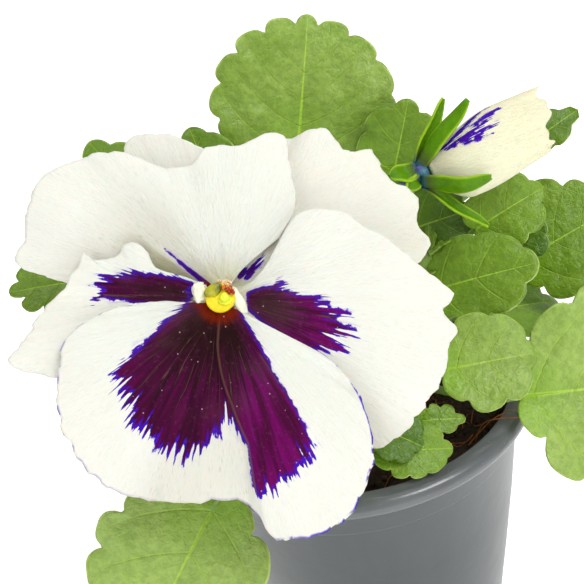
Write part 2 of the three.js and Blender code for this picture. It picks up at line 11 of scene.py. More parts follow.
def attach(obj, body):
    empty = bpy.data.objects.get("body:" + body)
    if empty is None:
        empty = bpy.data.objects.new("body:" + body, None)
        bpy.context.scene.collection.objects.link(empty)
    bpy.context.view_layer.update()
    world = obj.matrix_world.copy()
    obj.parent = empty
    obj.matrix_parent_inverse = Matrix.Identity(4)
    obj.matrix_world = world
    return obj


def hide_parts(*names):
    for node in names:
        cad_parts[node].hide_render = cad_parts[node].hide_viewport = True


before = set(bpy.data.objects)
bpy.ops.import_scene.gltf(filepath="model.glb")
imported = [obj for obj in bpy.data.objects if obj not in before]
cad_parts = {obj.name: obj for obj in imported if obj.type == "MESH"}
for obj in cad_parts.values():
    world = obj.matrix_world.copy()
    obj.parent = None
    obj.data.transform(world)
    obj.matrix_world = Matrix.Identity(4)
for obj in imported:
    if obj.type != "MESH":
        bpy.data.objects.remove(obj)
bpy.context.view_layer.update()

# ---- The pot ----
# A thin nursery pot of dark grey injection-moulded plastic, 9 cm across its rolled lip, tapering to a flat
# base. A shallow step runs round it under the lip, and six drain holes are moulded through the base.
MM = 0.001
POT_HEIGHT = 80
RIM_RADIUS = 45
MOUTH_RADIUS = 39.4
BASE_RADIUS = 29
COLLAR_RADIUS = 41.6
WALL = 1.5
FLOOR = 1.5
LIP = POT_HEIGHT - 4.2
STEP = POT_HEIGHT - 11.5
POT_STEPS = 144
DRAIN_HOLES = 6
DRAIN_RADIUS = 3
DRAIN_RING = 17
DRAIN_SIDES = 32
MOULD_EDGE = 0.35
WELD = 0.005


def wall_radius(z):
    """The radius of the pot's inner wall at a height below the lip."""
    return BASE_RADIUS + (COLLAR_RADIUS - BASE_RADIUS) * z / LIP - WALL


def spun(profile, steps):
    """A closed body turned about Z from (radius, height) corners, the first and last of them on the axis."""
    bm = bmesh.new()
    corners = [bm.verts.new((radius, 0, height)) for radius, height in profile]
    edges = [bm.edges.new(pair) for pair in zip(corners, corners[1:])]
    bmesh.ops.spin(bm, geom=corners + edges, cent=(0, 0, 0), axis=(0, 0, 1), angle=2 * math.pi,
                   steps=steps, use_merge=True)
    bmesh.ops.remove_doubles(bm, verts=bm.verts, dist=1e-3)
    bmesh.ops.recalc_face_normals(bm, faces=bm.faces)
    return bm


def finished(name, bm, *skins):
    """The object of a piece whose mesh is done: smooth, in metres, at the origin."""
    bmesh.ops.scale(bm, vec=(MM, MM, MM), verts=bm.verts)
    mesh = bpy.data.meshes.new(name)
    bm.to_mesh(mesh)
    bm.free()
    mesh.shade_smooth()
    for skin in skins:
        mesh.materials.append(skin)
    piece = bpy.data.objects.new(name, mesh)
    bpy.context.scene.collection.objects.link(piece)
    return piece


def colour(red, green, blue):
    """A colour as it is seen on a screen, 0 to 255, in the linear values that a shader takes."""
    shares = [value / 255 for value in (red, green, blue)]
    linear = [((s + 0.055) / 1.055) ** 2.4 if s > 0.04045 else s / 12.92 for s in shares]
    return (*linear, 1)


def node(beside, kind, inputs, output=0, **settings):
    """Adds a shader node to the tree that another node or socket is in, sets or links its inputs by name or
    number, and returns one of its outputs."""
    made = beside.id_data.nodes.new("ShaderNode" + kind)
    for setting, value in settings.items():
        setattr(made, setting, value)
    for key, value in inputs.items():
        if isinstance(value, bpy.types.NodeSocket):
            made.id_data.links.new(value, made.inputs[key])
        else:
            made.inputs[key].default_value = value
    return made.outputs[output]


def new_skin(name, roughness, **sockets):
    """A new node material with what is uniform over the surface set on its shader, that shader, and the
    place on the piece, which the patterns follow."""
    skin = bpy.data.materials.new(name)
    skin.use_nodes = True
    shader = skin.node_tree.nodes["Principled BSDF"]
    shader.inputs["Roughness"].default_value = roughness
    for socket, value in sockets.items():
        shader.inputs[socket.replace("_", " ")].default_value = value
    return skin, shader, node(shader, "TexCoord", {}, output="Object")


def link(shader, socket, value):
    """Links a pattern to one of the shader's inputs."""
    shader.id_data.links.new(value, shader.inputs[socket])


def sums(operation, *values):
    """A math node, of which at least one value is a socket."""
    linked = next(value for value in values if isinstance(value, bpy.types.NodeSocket))
    return node(linked, "Math", dict(enumerate(values)), operation=operation)


def times(first, second):
    """The product of two values."""
    return sums("MULTIPLY", first, second)


def minus(first, second):
    """The first value less the second."""
    return sums("SUBTRACT", first, second)


def rise(value, low, high):
    """0 below low, 1 above high, and a smooth step between them. It falls instead where low is above high."""
    ends = {"Value": value, "From Min": min(low, high), "From Max": max(low, high)}
    ends.update({"To Min": 0 if low < high else 1, "To Max": 1 if low < high else 0})
    return node(value, "MapRange", ends, interpolation_type="SMOOTHSTEP")


def ranged(value, low, high):
    """A value from 0 to 1, spread evenly from low to high."""
    return node(value, "MapRange", {"Value": value, "To Min": low, "To Max": high})


def blend(share, first, second):
    """The first colour, changing to the second as share goes from 0 to 1."""
    return node(share, "Mix", {0: share, 6: first, 7: second}, output=2, data_type="RGBA")


def cloud(place, scale, detail=3, rough=0.5):
    """Fractal noise from 0 to 1, with `scale` to the metre."""
    return node(place, "TexNoise", {"Vector": place, "Scale": scale, "Detail": detail, "Roughness": rough})


def cells(place, scale, output="Distance", **settings):
    """A cell pattern, with `scale` to the metre."""
    return node(place, "TexVoronoi", {"Vector": place, "Scale": scale}, output=output, **settings)


def relief(shader, *layers):
    """Bumps of the surface: each layer is (height from 0 to 1, how high that is in metres)."""
    normal = None
    for height, distance in layers:
        inputs = {"Height": height, "Distance": distance, "Strength": 1}
        if normal:
            inputs["Normal"] = normal
        normal = node(shader, "Bump", inputs)
    link(shader, "Normal", normal)


POT_PROFILE = [
    (0, 0), (10, 0), (BASE_RADIUS - 1.5, 0), (BASE_RADIUS, 1.5),
    (wall_radius(30) + WALL, 30), (wall_radius(50) + WALL, 50), (wall_radius(STEP) + WALL - 0.5, STEP - 0.4),
    (wall_radius(STEP) + WALL, STEP), (COLLAR_RADIUS, LIP), (RIM_RADIUS - 0.9, LIP),
    (RIM_RADIUS - 0.2, LIP + 0.9), (RIM_RADIUS, LIP + 2.2), (RIM_RADIUS - 0.6, LIP + 3.5),
    (RIM_RADIUS - 1.6, POT_HEIGHT), (MOUTH_RADIUS + 1.2, POT_HEIGHT), (MOUTH_RADIUS + 0.3, POT_HEIGHT - 0.5),
    (MOUTH_RADIUS, POT_HEIGHT - 1.8),
    (wall_radius(STEP), STEP), (wall_radius(40), 40), (wall_radius(FLOOR), FLOOR), (10, FLOOR), (0, FLOOR),
]
plastic, shader, place = new_skin("pot_plastic", 0.33)
height = node(shader, "SeparateXYZ", {0: place}, output="Z")
streaks = node(shader, "Mapping", {"Vector": place, "Scale": (260, 260, 12)})
body = blend(cloud(streaks, 1), colour(58, 63, 65), colour(68, 73, 75))
dusty = times(cloud(place, 900, 5, 0.65), rise(height, 0.02, 0.0))
body = blend(dusty, body, colour(120, 112, 100))
# Painted light: the lip is a lighter grey than the body, though both are the same plastic. The pale specks on
# it are dust.
lip = blend(cloud(place, 120), colour(86, 89, 91), colour(104, 107, 109))
specks = cells(place, 700)
lip = blend(times(rise(specks, 0.1, 0.03), 0.4), lip, colour(176, 178, 178))
on_lip = rise(height, (LIP - 0.6) * MM, (LIP + 0.4) * MM)
link(shader, "Base Color", blend(on_lip, body, lip))
worn = ranged(cloud(streaks, 1, 2), 0.28, 0.36)
link(shader, "Roughness", minus(worn, times(on_lip, 0.1)))
relief(shader, (cloud(place, 1200, 2), 0.00001), (cloud(place, 160, 2), 0.0001))

pot_mesh = spun(POT_PROFILE, POT_STEPS)
pot = finished("moulded_pot", pot_mesh, plastic)
rounding = pot.modifiers.new("moulded edges", "BEVEL")
rounding.width = MOULD_EDGE * MM
rounding.segments = 2
rounding.limit_method = "ANGLE"
rounding.angle_limit = math.radians(25)
drills = bmesh.new()
for i in range(DRAIN_HOLES):
    angle = 2 * math.pi * i / DRAIN_HOLES
    spot = Matrix.Translation((DRAIN_RING * math.cos(angle), DRAIN_RING * math.sin(angle), 0))
    spot = spot @ Matrix.Rotation(angle + math.pi / DRAIN_SIDES, 4, "Z")
    bmesh.ops.create_cone(drills, cap_ends=True, segments=DRAIN_SIDES, radius1=DRAIN_RADIUS,
                          radius2=DRAIN_RADIUS, depth=4 * FLOOR, matrix=spot)
drill = finished("drain_drill", drills)
holes = pot.modifiers.new("drain holes", "BOOLEAN")
holes.object = drill
bpy.context.view_layer.update()
drilled = bpy.data.meshes.new_from_object(pot.evaluated_get(bpy.context.evaluated_depsgraph_get()))
pot.modifiers.clear()
sound = bmesh.new()
sound.from_mesh(drilled)
bmesh.ops.remove_doubles(sound, verts=sound.verts, dist=WELD * MM)
bmesh.ops.dissolve_degenerate(sound, edges=sound.edges, dist=WELD * MM)
sound.to_mesh(drilled)
sound.free()
drilled.set_sharp_from_angle(angle=math.radians(40))
pot.data = drilled
bpy.data.objects.remove(drill)
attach(pot, "root")
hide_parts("pot")

# ---- The potting soil ----
# Dark, damp peat that fills the pot to a centimetre below its rim, crumbly on top, with coarse crumbs of bark
# and short strands of coir that lie about on it.
SOIL_TOP = 70
SOIL_CROWN = 1.5
SOIL_GAP = 0.3
SOIL_RADIUS = wall_radius(68) - SOIL_GAP
SOIL_RINGS = 70
SOIL_STEPS = 170
CRUMBS = 620
STRANDS = 90
FIBRE_RADIUS = 0.2


def soil_height(x, y):
    """The height of the peat's surface, with its lumps and crumbs."""
    share = min(1, math.hypot(x, y) / SOIL_RADIUS)
    lumps = 0.8 * (math.sin(0.62 * x + 1.3) * math.cos(0.55 * y) + 0.6 * math.sin(0.9 * x - 0.8 * y))
    crumbs = noise.fractal(Vector((x * 0.5, y * 0.5, 3)), 0.6, 2.1, 5)
    return SOIL_TOP + SOIL_CROWN * (1 - share) + (1 - share ** 6) * lumps + 1.3 * crumbs * (1 - share ** 12)


peat, shader, place = new_skin("damp_peat", 0.92)
grains = cloud(place, 700, 6, 0.7)
flecks = cells(place, 900)
earth = blend(grains, colour(24, 14, 9), colour(74, 48, 32))
link(shader, "Base Color", blend(rise(flecks, 0.16, 0.05), earth, colour(112, 78, 50)))
relief(shader, (grains, 0.0009), (flecks, 0.0003))

top = [(SOIL_RADIUS * (1 - ring / SOIL_RINGS), SOIL_TOP) for ring in range(SOIL_RINGS + 1)]
under = [(0, FLOOR + SOIL_GAP), (wall_radius(FLOOR) - SOIL_GAP, FLOOR + SOIL_GAP),
         (wall_radius(35) - SOIL_GAP, 35)]
soil_mesh = spun(under + top, SOIL_STEPS)
for corner in soil_mesh.verts:
    if corner.co.z > SOIL_TOP - 0.01:
        corner.co.z = soil_height(corner.co.x, corner.co.y)
soil = finished("peat", soil_mesh, peat)
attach(soil, "root")
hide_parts("potting_soil")


def mottled_skin(name, roughness, first, second, blotches, bumps=None, edges=None, **sockets):
    """A skin of two colours. blotches is the noise between them as (scale, detail), edges where in it the
    one turns into the other, and bumps is the relief as (scale, detail, roughness, height in metres)."""
    skin, shader, place = new_skin(name, roughness, **sockets)
    share = cloud(place, *blotches)
    if edges:
        share = rise(share, *edges)
    link(shader, "Base Color", blend(share, first, second))
    if bumps:
        relief(shader, (cloud(place, *bumps[:3]), bumps[3]))
    return skin


bark = mottled_skin("bark_crumbs", 0.85, colour(36, 22, 14), colour(112, 74, 46), (260, 4),
                    (1800, 4, 0.7, 0.0004), (0.35, 0.7))
dice = random.Random(5)
crumb_mesh = bmesh.new()
for _ in range(CRUMBS):
    radius = SOIL_RADIUS * math.sqrt(dice.random()) * 0.97
    turn = dice.uniform(0, 2 * math.pi)
    x, y = radius * math.cos(turn), radius * math.sin(turn)
    size = dice.uniform(0.35, 1.0) if dice.random() < 0.85 else dice.uniform(1.0, 1.9)
    tilt = Matrix.Rotation(dice.uniform(0, 6), 4, "Z") @ Matrix.Rotation(dice.uniform(0, 3), 4, "X")
    flat = Matrix.Diagonal((1, dice.uniform(0.5, 0.9), dice.uniform(0.35, 0.7), 1))
    spot = Matrix.Translation((x, y, soil_height(x, y) + 0.2 * size)) @ tilt @ flat
    lump = bmesh.ops.create_icosphere(crumb_mesh, subdivisions=1, radius=size, matrix=spot)
    # noise_vector starts from a seed that Blender takes from the clock, so the lumps differ in every run.
    for corner in lump["verts"]:
        corner.co += 0.28 * size * noise.noise_vector(corner.co * 1.7)
crumbs = finished("bark_crumbs", crumb_mesh, bark)
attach(crumbs, "root")


def curve_through(knots, steps):
    """Points along the smooth curve through the knots, `steps` to each span (centripetal Catmull-Rom)."""
    knots = [Vector(knot) for knot in knots]
    ends = [2 * knots[0] - knots[1], *knots, 2 * knots[-1] - knots[-2]]
    points = []
    for before, start, stop, after in zip(ends, ends[1:], ends[2:], ends[3:]):
        a = math.sqrt((start - before).length) or 1
        b = math.sqrt((stop - start).length)
        c = math.sqrt((after - stop).length) or b
        leave = ((start - before) / a - (stop - before) / (a + b) + (stop - start) / b) * b
        arrive = ((stop - start) / b - (after - start) / (b + c) + (after - stop) / c) * b
        for step in range(steps):
            t = step / steps
            bend = (2 * t ** 3 - 3 * t ** 2 + 1) * start + (3 * t ** 2 - 2 * t ** 3) * stop
            points.append(bend + (t ** 3 - 2 * t ** 2 + t) * leave + (t ** 3 - t ** 2) * arrive)
    return points + [knots[-1]]


def shaped_grid(bm, columns, rows, place):
    """Adds a grid, moves each of its corners to the point that place(u, v) gives, and welds what meets.
    place also gives a dict of values for the corner's layers."""
    grid = bmesh.ops.create_grid(bm, x_segments=columns, y_segments=rows, size=0.5)["verts"]
    for corner in grid:
        corner.co, values = place(corner.co.x + 0.5, corner.co.y + 0.5)
        for layer, value in values.items():
            corner[layer] = value
    bmesh.ops.remove_doubles(bm, verts=grid, dist=1e-4)


def strand(bm, points, radius, sides):
    """Adds a round strand along the points. radius(share) gives how thick it is from its foot to its end."""
    side = (points[1] - points[0]).orthogonal().normalized()
    rings = []
    for i, point in enumerate(points):
        ahead = (points[min(i + 1, len(points) - 1)] - points[max(i - 1, 0)]).normalized()
        side = (side - ahead * side.dot(ahead)).normalized()
        rings.append((point, side, ahead.cross(side)))
    last = len(points) + 1

    def place(u, v):
        row = round(v * last)
        point, side, up = rings[min(max(row - 1, 0), len(points) - 1)]
        wide = 0 if row in (0, last) else radius((row - 1) / (len(points) - 1))
        spot = point + wide * (math.cos(2 * math.pi * u) * side + math.sin(2 * math.pi * u) * up)
        return spot, {}

    shaped_grid(bm, sides, last, place)


coir = mottled_skin("coir", 0.75, colour(120, 62, 26), colour(205, 122, 62), (500, 4), (4000, 3, 0.5, 0.0001))
coir_mesh = bmesh.new()
for _ in range(STRANDS):
    radius = SOIL_RADIUS * math.sqrt(dice.random()) * 0.9
    turn = dice.uniform(0, 2 * math.pi)
    heading = dice.uniform(0, 2 * math.pi)
    spot = Vector((radius * math.cos(turn), radius * math.sin(turn), 0))
    knots = []
    for _ in range(5):
        reach = min(1, (SOIL_RADIUS - 0.8) / max(spot.length, 0.1))
        spot = spot * reach
        knots.append((spot.x, spot.y, soil_height(spot.x, spot.y) + dice.uniform(0.1, 0.9)))
        heading += dice.uniform(-0.7, 0.7)
        spot = spot + dice.uniform(1, 3.2) * Vector((math.cos(heading), math.sin(heading), 0))
    thick = dice.uniform(0.1, 0.2)
    strand(coir_mesh, curve_through(knots, 3), lambda share: thick * (1 - 0.6 * share), 4)
# Two fibres that run up and over the rim at the right of the plant, and a short one inside it.
RIM_FIBRES = [
    [(26, -20, 71), (28, -22, 77), (31, -26, 80.6), (36, -27, 80.6), (41, -22, 80.4)],
    [(24, -21, 71), (27, -22, 75), (31, -25, 80.6), (39, -23, 80.4)],
    [(16, -33, 71), (19, -33, 74), (23, -32, 74), (27, -30, 73)],
]
for knots in RIM_FIBRES:
    strand(coir_mesh, curve_through(knots, 8), lambda share: FIBRE_RADIUS * (1 - 0.5 * share), 6)
bmesh.ops.recalc_face_normals(coir_mesh, faces=coir_mesh.faces)
fibres = finished("coir_strands", coir_mesh, coir)
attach(fibres, "root")

# ---- The leafy stems ----
# Seven soft green stems stand in the soil. Each carries its leaves on long channelled stalks that run on
# under the blade as its midrib, with a pair of lobed leaflets where the stalk springs. The blades are thin,
# quilted between their sunken veins, and cut round the edge into blunt scallops.
STEM_FOOT = 62
STEM_BEND = 75
STEM_RADIUS = 1.5
STALK_RADIUS = 0.9
LEAF_THICKNESS = 0.5
LEAF_HEART = 0.46
SCALLOP_POWER = 0.55
SCALLOP_LEAN = 0.45
LEAF_DEEP = 0.15
NOTCH_DEPTH = 1.4
LEAF_FOLD = 0.16
LEAF_ARCH = 0.06
LEAF_LAYERS = ("rib", "vein", "pale", "edge", "along")


def new_leaf(start, at, tip, face, wide, teeth, pale, deep=LEAF_DEEP, wedge=0):
    """A leaf that springs `start` of the way up its stem. Its blade lies from `at` to `tip` facing `face`,
    `wide` across, with `teeth` scallops a side, cut `deep` of the way in. pale is from 0, dark green, to 1,
    yellow-green, and wedge narrows the blade behind its heart."""
    length = (Vector(tip) - Vector(at)).length
    return dict(start=start, at=at, tip=tip, face=face, wide=wide, teeth=teeth, pale=pale, deep=deep,
                wedge=wedge, length=length)


# For each stem: where it stands, its route, and its leaves.
LEAFY_STEMS = {
    "front_right": ((9, -9), [(12, -14, 84), (15, -18, 90)], [
        new_leaf(0.95, (32.8, -28, 87.2), (68.8, -24, 80.2), (0.15, -0.85, 0.5), 47, 4, 0.8, deep=0.2,
                 wedge=0.12),
        new_leaf(0.98, (18.5, -25.7, 96.5), (41, -26.7, 96.5), (0.1, -0.75, 0.65), 22.5, 3, 0.75),
        new_leaf(0.7, (1.5, -33, 91.5), (11.5, -38, 86.5), (0.3, -0.7, 0.65), 13, 3, 0.1),
        new_leaf(0.6, (0.3, -36, 86.6), (17.8, -37, 83.8), (0.1, -0.75, 0.65), 12.5, 4, 0.5),
        new_leaf(0.8, (10.5, -31, 88.8), (22.5, -32, 87), (0.2, -0.7, 0.7), 7, 3, 0.35, deep=0.3),
    ]),
    "right": ((13, -1), [(16, -2, 95), (20, -3, 108), (24, -3, 114)], [
        new_leaf(0.85, (20.3, -5, 105), (46.8, -15, 112), (0.05, -0.75, 0.65), 21, 3, 0.42),
        new_leaf(1, (34, -3, 117), (52, -4, 125), (0.1, -0.8, 0.6), 18, 3, 0.45),
        new_leaf(0.97, (20.5, 4, 117.5), (37, 2, 120.5), (0.1, -0.8, 0.6), 17.5, 3, 0.1),
        new_leaf(0.5, (33, 2, 91), (57, 9, 86), (0.2, -0.3, 0.93), 22, 3, 0.4),
        new_leaf(0.35, (22, -6, 84), (36, -8, 88), (0, -0.2, 0.98), 14, 3, 0.3),
        new_leaf(0.8, (40, 1, 108), (53, -1, 114), (0.1, -0.8, 0.6), 14, 3, 0.1),
    ]),
    "back_right": ((9, 9), [(14, 11, 92), (24, 14, 108), (34, 15, 116)], [
        new_leaf(0.8, (46, 8, 99.5), (72, 8, 109.5), (-0.1, -0.75, 0.65), 31, 4, 0.5),
        new_leaf(1, (53, 18, 125), (69, 20, 132), (0.1, -0.7, 0.7), 10, 2, 0.25, deep=0.25),
        new_leaf(0.85, (20, 13, 126), (27, 12, 147), (0, -0.8, 0.6), 20, 3, 0.4),
        new_leaf(0.5, (34, 24, 92), (58, 40, 86), (0.2, 0.2, 0.95), 28, 4, 0.5),
        new_leaf(0.35, (22, 14, 84), (39, 18, 87), (0, 0, 1), 14, 3, 0.3),
        new_leaf(0.7, (30, 30, 108), (46, 50, 110), (0.1, 0.3, 0.95), 26, 4, 0.6),
    ]),
    "back": ((-1, 13), [(-1, 16, 100), (-1, 19, 124)], [
        new_leaf(1, (-1.5, 19.5, 133.2), (8.5, 24.5, 168), (0.05, -0.93, 0.35), 44, 7, 0.7, deep=0.1),
        new_leaf(0.8, (-4, 32, 116), (-8, 58, 122), (0, 0.3, 0.95), 30, 5, 0.5),
        new_leaf(0.6, (10, 32, 98), (18, 60, 98), (0.1, 0.2, 0.97), 30, 5, 0.65),
        new_leaf(0.35, (-5, 20, 94), (-11, 34, 103), (0, 0.2, 0.98), 14, 3, 0.4),
        new_leaf(0.4, (-8, 32, 88), (-16, 60, 80), (0, 0.35, 0.93), 30, 5, 0.55),
    ]),
    "back_left": ((-10, 8), [(-15, 12, 96), (-20, 14, 118)], [
        new_leaf(1, (-20, 14, 128), (-24, 13, 151), (-0.1, -0.8, 0.6), 18, 3, 0.3),
        new_leaf(0.95, (-35, 6, 136), (-45, 0, 157), (-0.3, -0.7, 0.6), 18, 3, 0.3),
        new_leaf(0.75, (-30, 26, 112), (-46, 44, 118), (-0.2, 0.3, 0.93), 26, 4, 0.5),
        new_leaf(0.35, (-18, 18, 86), (-28, 31, 98), (0, 0.1, 1), 14, 3, 0.35),
        new_leaf(0.5, (-34, 24, 92), (-56, 38, 86), (-0.2, 0.2, 0.95), 28, 4, 0.6),
    ]),
    "left": ((-13, -3), [(-18, -4, 94), (-30, -6, 112), (-40, -8, 122)], [
        new_leaf(1, (-50, -12, 130), (-68.5, -15, 132.8), (-0.1, -0.6, 0.8), 14.5, 4, 0.55, deep=0.28),
        new_leaf(0.8, (-42, 2, 112), (-66, 12, 112), (-0.2, 0.1, 0.97), 28, 4, 0.55),
        new_leaf(0.35, (-22, 2, 86), (-37, 10, 94), (0, 0, 1), 14, 3, 0.35),
        new_leaf(0.5, (-38, -4, 90), (-62, -4, 84), (-0.2, -0.1, 0.97), 28, 4, 0.6),
    ]),
    "front_left": ((-8, -12), [(-14, -20, 90), (-24, -32, 98)], [
        new_leaf(1, (-31, -47, 95), (-57, -57, 64), (-0.1, -0.85, 0.5), 39, 5, 0.82),
        new_leaf(0.75, (-36, -26, 96), (-60, -32, 96), (-0.2, -0.5, 0.84), 24, 4, 0.5),
        new_leaf(0.35, (-20, -18, 85), (-36, -20, 89), (0, 0, 1), 14, 3, 0.3),
        new_leaf(0.6, (-10, -32, 92), (-14, -54, 88), (0, -0.4, 0.9), 24, 4, 0.45),
    ]),
}


def leaf_edge(leaf, angle, deep):
    """How far the leaf's edge is from its heart at an angle, with the notches cut up to `deep` of the way
    in."""
    ahead = 1 - LEAF_HEART if math.cos(angle) > 0 else LEAF_HEART
    along = math.cos(angle) / (ahead * leaf["length"])
    across = math.sin(angle) / (leaf["wide"] / 2)
    behind = max(0, 2 * abs(angle) / math.pi - 1)
    narrow = 1 - leaf["wedge"] * math.sin(math.pi * behind)
    passed = (leaf["teeth"] + 0.5) * abs(angle)
    lean = SCALLOP_LEAN * (1 - (angle / math.pi) ** 4) * math.sin(passed) ** 2
    notch = math.floor((passed + lean) / math.pi) + (0 if angle > 0 else 31)
    uneven = 0.45 + 0.65 * abs(math.sin(12.9 * notch + 7.7 * leaf["wide"] + leaf["at"][0]))
    scallop = abs(math.cos(passed + lean)) ** SCALLOP_POWER
    return narrow * (1 - NOTCH_DEPTH * deep * uneven * (1 - scallop)) / math.hypot(along, across)


def leaf_height(leaf, x, y, reach, angle):
    """How high the blade lies over the straight line from its stalk to its tip."""
    arch = 4 * LEAF_ARCH * x * (1 - x / leaf["length"])
    fold = LEAF_FOLD * abs(y) * (1 - 0.35 * abs(y) / leaf["wide"])
    wave = 0.03 * leaf["wide"] * math.sin(3 * angle + leaf["wide"]) * reach ** 2
    return arch + fold + wave


def vein_count(leaf, x, y):
    """How many side veins lie between a point of the blade and its foot. It is whole on a vein."""
    spacing = leaf["length"] / (0.6 * leaf["teeth"] + 1.5)
    slant = 0.2 + 0.7 * x / leaf["length"]
    return (x - slant * abs(y) - 0.4 * y * y / leaf["wide"]) / spacing + 0.35


def leaf_frame(leaf):
    """The leaf's own axes: x towards its tip, z out of its upper face."""
    x = (Vector(leaf["tip"]) - Vector(leaf["at"])).normalized()
    z = Vector(leaf["face"])
    z = (z - x * z.dot(x)).normalized()
    axes = Matrix((x, z.cross(x), z)).transposed().to_4x4()
    return Matrix.Translation(leaf["at"]) @ axes


def leaf_blade(bm, leaf, layers):
    """Adds one blade. Its layers say for each corner how far it is from the midrib, which side vein it is
    near, how pale the leaf is, how near the edge it lies and how far along the leaf."""
    frame_of_leaf = leaf_frame(leaf)
    size = leaf["wide"] / 40
    seed = Vector(leaf["at"]) * 0.37

    def place(u, v):
        angle = math.pi * (1 - 2 * u)
        smooth = leaf_edge(leaf, angle, 0)
        toothed = leaf_edge(leaf, angle, leaf["deep"])
        uneven = 1 + 0.025 * v * noise.noise(seed + Vector((2.2 * math.cos(angle), 2.2 * math.sin(angle), 0)))
        radius = (smooth + (toothed - smooth) * v ** 3) * v * uneven
        x = LEAF_HEART * leaf["length"] + radius * math.cos(angle)
        y = radius * math.sin(angle)
        count = vein_count(leaf, x, y)
        quilt = (abs(math.sin(math.pi * count)) - 0.6) * min(1, 2.5 * abs(y) / leaf["wide"]) * (1 - 0.4 * v)
        groove = math.exp(-(y / (1.2 * size + 0.5)) ** 2)
        calm = 1 - 0.85 * math.exp(-(y / (2.4 * size + 0.6)) ** 2)
        ruffle = 0.012 * leaf["wide"] * math.sin(7 * angle + leaf["wide"]) * v ** 4
        flat = Vector((x, y, 0))
        puckers = 0.5 * noise.noise(seed + flat * 0.22) + 0.22 * noise.noise(seed + flat * 0.6)
        z = leaf_height(leaf, x, y, v, angle) + (0.7 * quilt - 0.35 * groove + calm * puckers) * size + ruffle
        slim = (1.05 - x / leaf["length"]) * (0.4 + 0.6 * size)
        values = (abs(y) / max(slim, 0.05), count, leaf["pale"], v, x / leaf["length"])
        return frame_of_leaf @ Vector((x, y, z)), dict(zip(layers, values))

    columns = 14 * (2 * leaf["teeth"] + 1) if leaf["wide"] > 10 else 6 * (2 * leaf["teeth"] + 1)
    shaped_grid(bm, columns, max(6, round(leaf["wide"] * 0.6)), place)


def new_layers(bm, keys):
    """Layers that hold a number for each corner of a mesh, one for each name, in order."""
    return [bm.verts.layers.float.new(key) for key in keys]


def attributes(shader, keys):
    """The numbers in such layers, as a shader reads them."""
    return [node(shader, "Attribute", {}, output="Fac", attribute_name=key) for key in keys]


def thicken(piece, thickness):
    """Gives a thin sheet its body, half of it on either side."""
    body = piece.modifiers.new("body", "SOLIDIFY")
    body.thickness = thickness * MM
    body.offset = 0


def rooted(foot, route):
    """The knots of a stem that stands upright in the soil at its foot and then follows its route."""
    return [(*foot, STEM_FOOT), (*foot, (STEM_FOOT + STEM_BEND) / 2), (*foot, STEM_BEND), *route]


def leafy_stem(name, foot, route, leaves, dice):
    """Makes a stem with its leaf stalks, and its blades."""
    line = curve_through(rooted(foot, route), 10)
    green = bmesh.new()
    strand(green, line, lambda share: STEM_RADIUS * (1.05 - 0.2 * share), 10)
    blades = bmesh.new()
    layers = new_layers(blades, LEAF_LAYERS)
    for leaf in leaves:
        leaf_blade(blades, leaf, layers)
        axes = leaf_frame(leaf)
        stout = STALK_RADIUS * (0.85 + 0.15 * leaf["wide"] / 25)

        def under(share):
            x = share * leaf["length"]
            rest = leaf_height(leaf, x, 0, 0, 0) - 0.4 * leaf["wide"] / 40
            return axes @ Vector((x, 0, rest - 0.3 - 0.9 * stout * max(0, 1 - abs(share))))

        joint = line[round(leaf["start"] * (len(line) - 1))]
        knots = [joint, under(-0.08)] + [under(share) for share in (0.12, 0.35, 0.6, 0.85)]
        strand(green, curve_through(knots, 8), lambda share: stout * (1 - 0.82 * share ** 1.5), 8)
        for turn in (-1, 1):
            heading = (Vector(knots[1]) - joint).normalized()
            aside = heading.cross(Vector((0, 0, 1))).normalized() * turn
            reach = min(11, 4 + leaf["wide"] / 4)
            tip = joint + reach * (0.55 * aside + 0.5 * heading + Vector((0, 0, 0.35 + 0.2 * dice.random())))
            base = joint + 0.8 * aside
            face = (0.2 * turn, -0.2, 0.9)
            leaflet = new_leaf(0, tuple(base), tuple(tip), face, 0.42 * reach, 2, 0.5, deep=0.5)
            leaf_blade(blades, leaflet, layers)
    bmesh.ops.recalc_face_normals(green, faces=green.faces)
    return finished("stem_" + name, green, stem_green), finished("leaves_" + name, blades, leaf_green)


stem_green, shader, place = new_skin("stem_green", 0.42, Subsurface_Weight=0.15, Subsurface_Scale=0.002)
height = node(shader, "SeparateXYZ", {0: place}, output="Z")
sap = blend(cloud(place, 180, 4), colour(104, 140, 52), colour(150, 182, 88))
sap = blend(rise(height, 0.09, 0.072), sap, colour(150, 140, 96))
link(shader, "Base Color", sap)
relief(shader, (cloud(place, 1500, 3), 0.00012))


def plus(first, second):
    """The sum of two values."""
    return sums("ADD", first, second)


def from_half(count):
    """How far a count is from halfway between two whole numbers: 0.5 where it is whole."""
    return sums("ABSOLUTE", minus(sums("FRACT", count), 0.5))


leaf_green, shader, place = new_skin("leaf_green", 0.36, Subsurface_Weight=0.08, Subsurface_Scale=0.001,
                                    Specular_IOR_Level=0.42)
rib, vein, pale, edge, along = attributes(shader, LEAF_LAYERS)
mottle = cloud(place, 90, 6, 0.65)
tone = plus(pale, ranged(mottle, -0.3, 0.3))
dark = blend(rise(tone, 0, 0.5), colour(66, 104, 0), colour(114, 149, 32))
blade = blend(rise(tone, 0.45, 1), dark, colour(156, 183, 88))
wrinkles = cloud(place, 620, 4, 0.6)
# Painted shade: the green darkens in the hollows of the wrinkles.
blade = blend(times(rise(wrinkles, 0.62, 0.38), 0.22), blade, colour(48, 84, 6))
fresh = times(rise(along, 0.5, 0), rise(rib, 14, 3))
blade = blend(times(fresh, 0.5), blade, colour(128, 178, 10))
on_vein = times(rise(from_half(vein), 0.462, 0.497), rise(edge, 1.02, 0.5))
on_rib = rise(rib, 0.75, 0.25)
on_net = rise(cells(place, 460, feature="DISTANCE_TO_EDGE"), 0.1, 0)
lines = sums("MAXIMUM", times(on_rib, 0.9), times(on_vein, 0.48))
lines = sums("MAXIMUM", lines, times(on_net, 0.06))
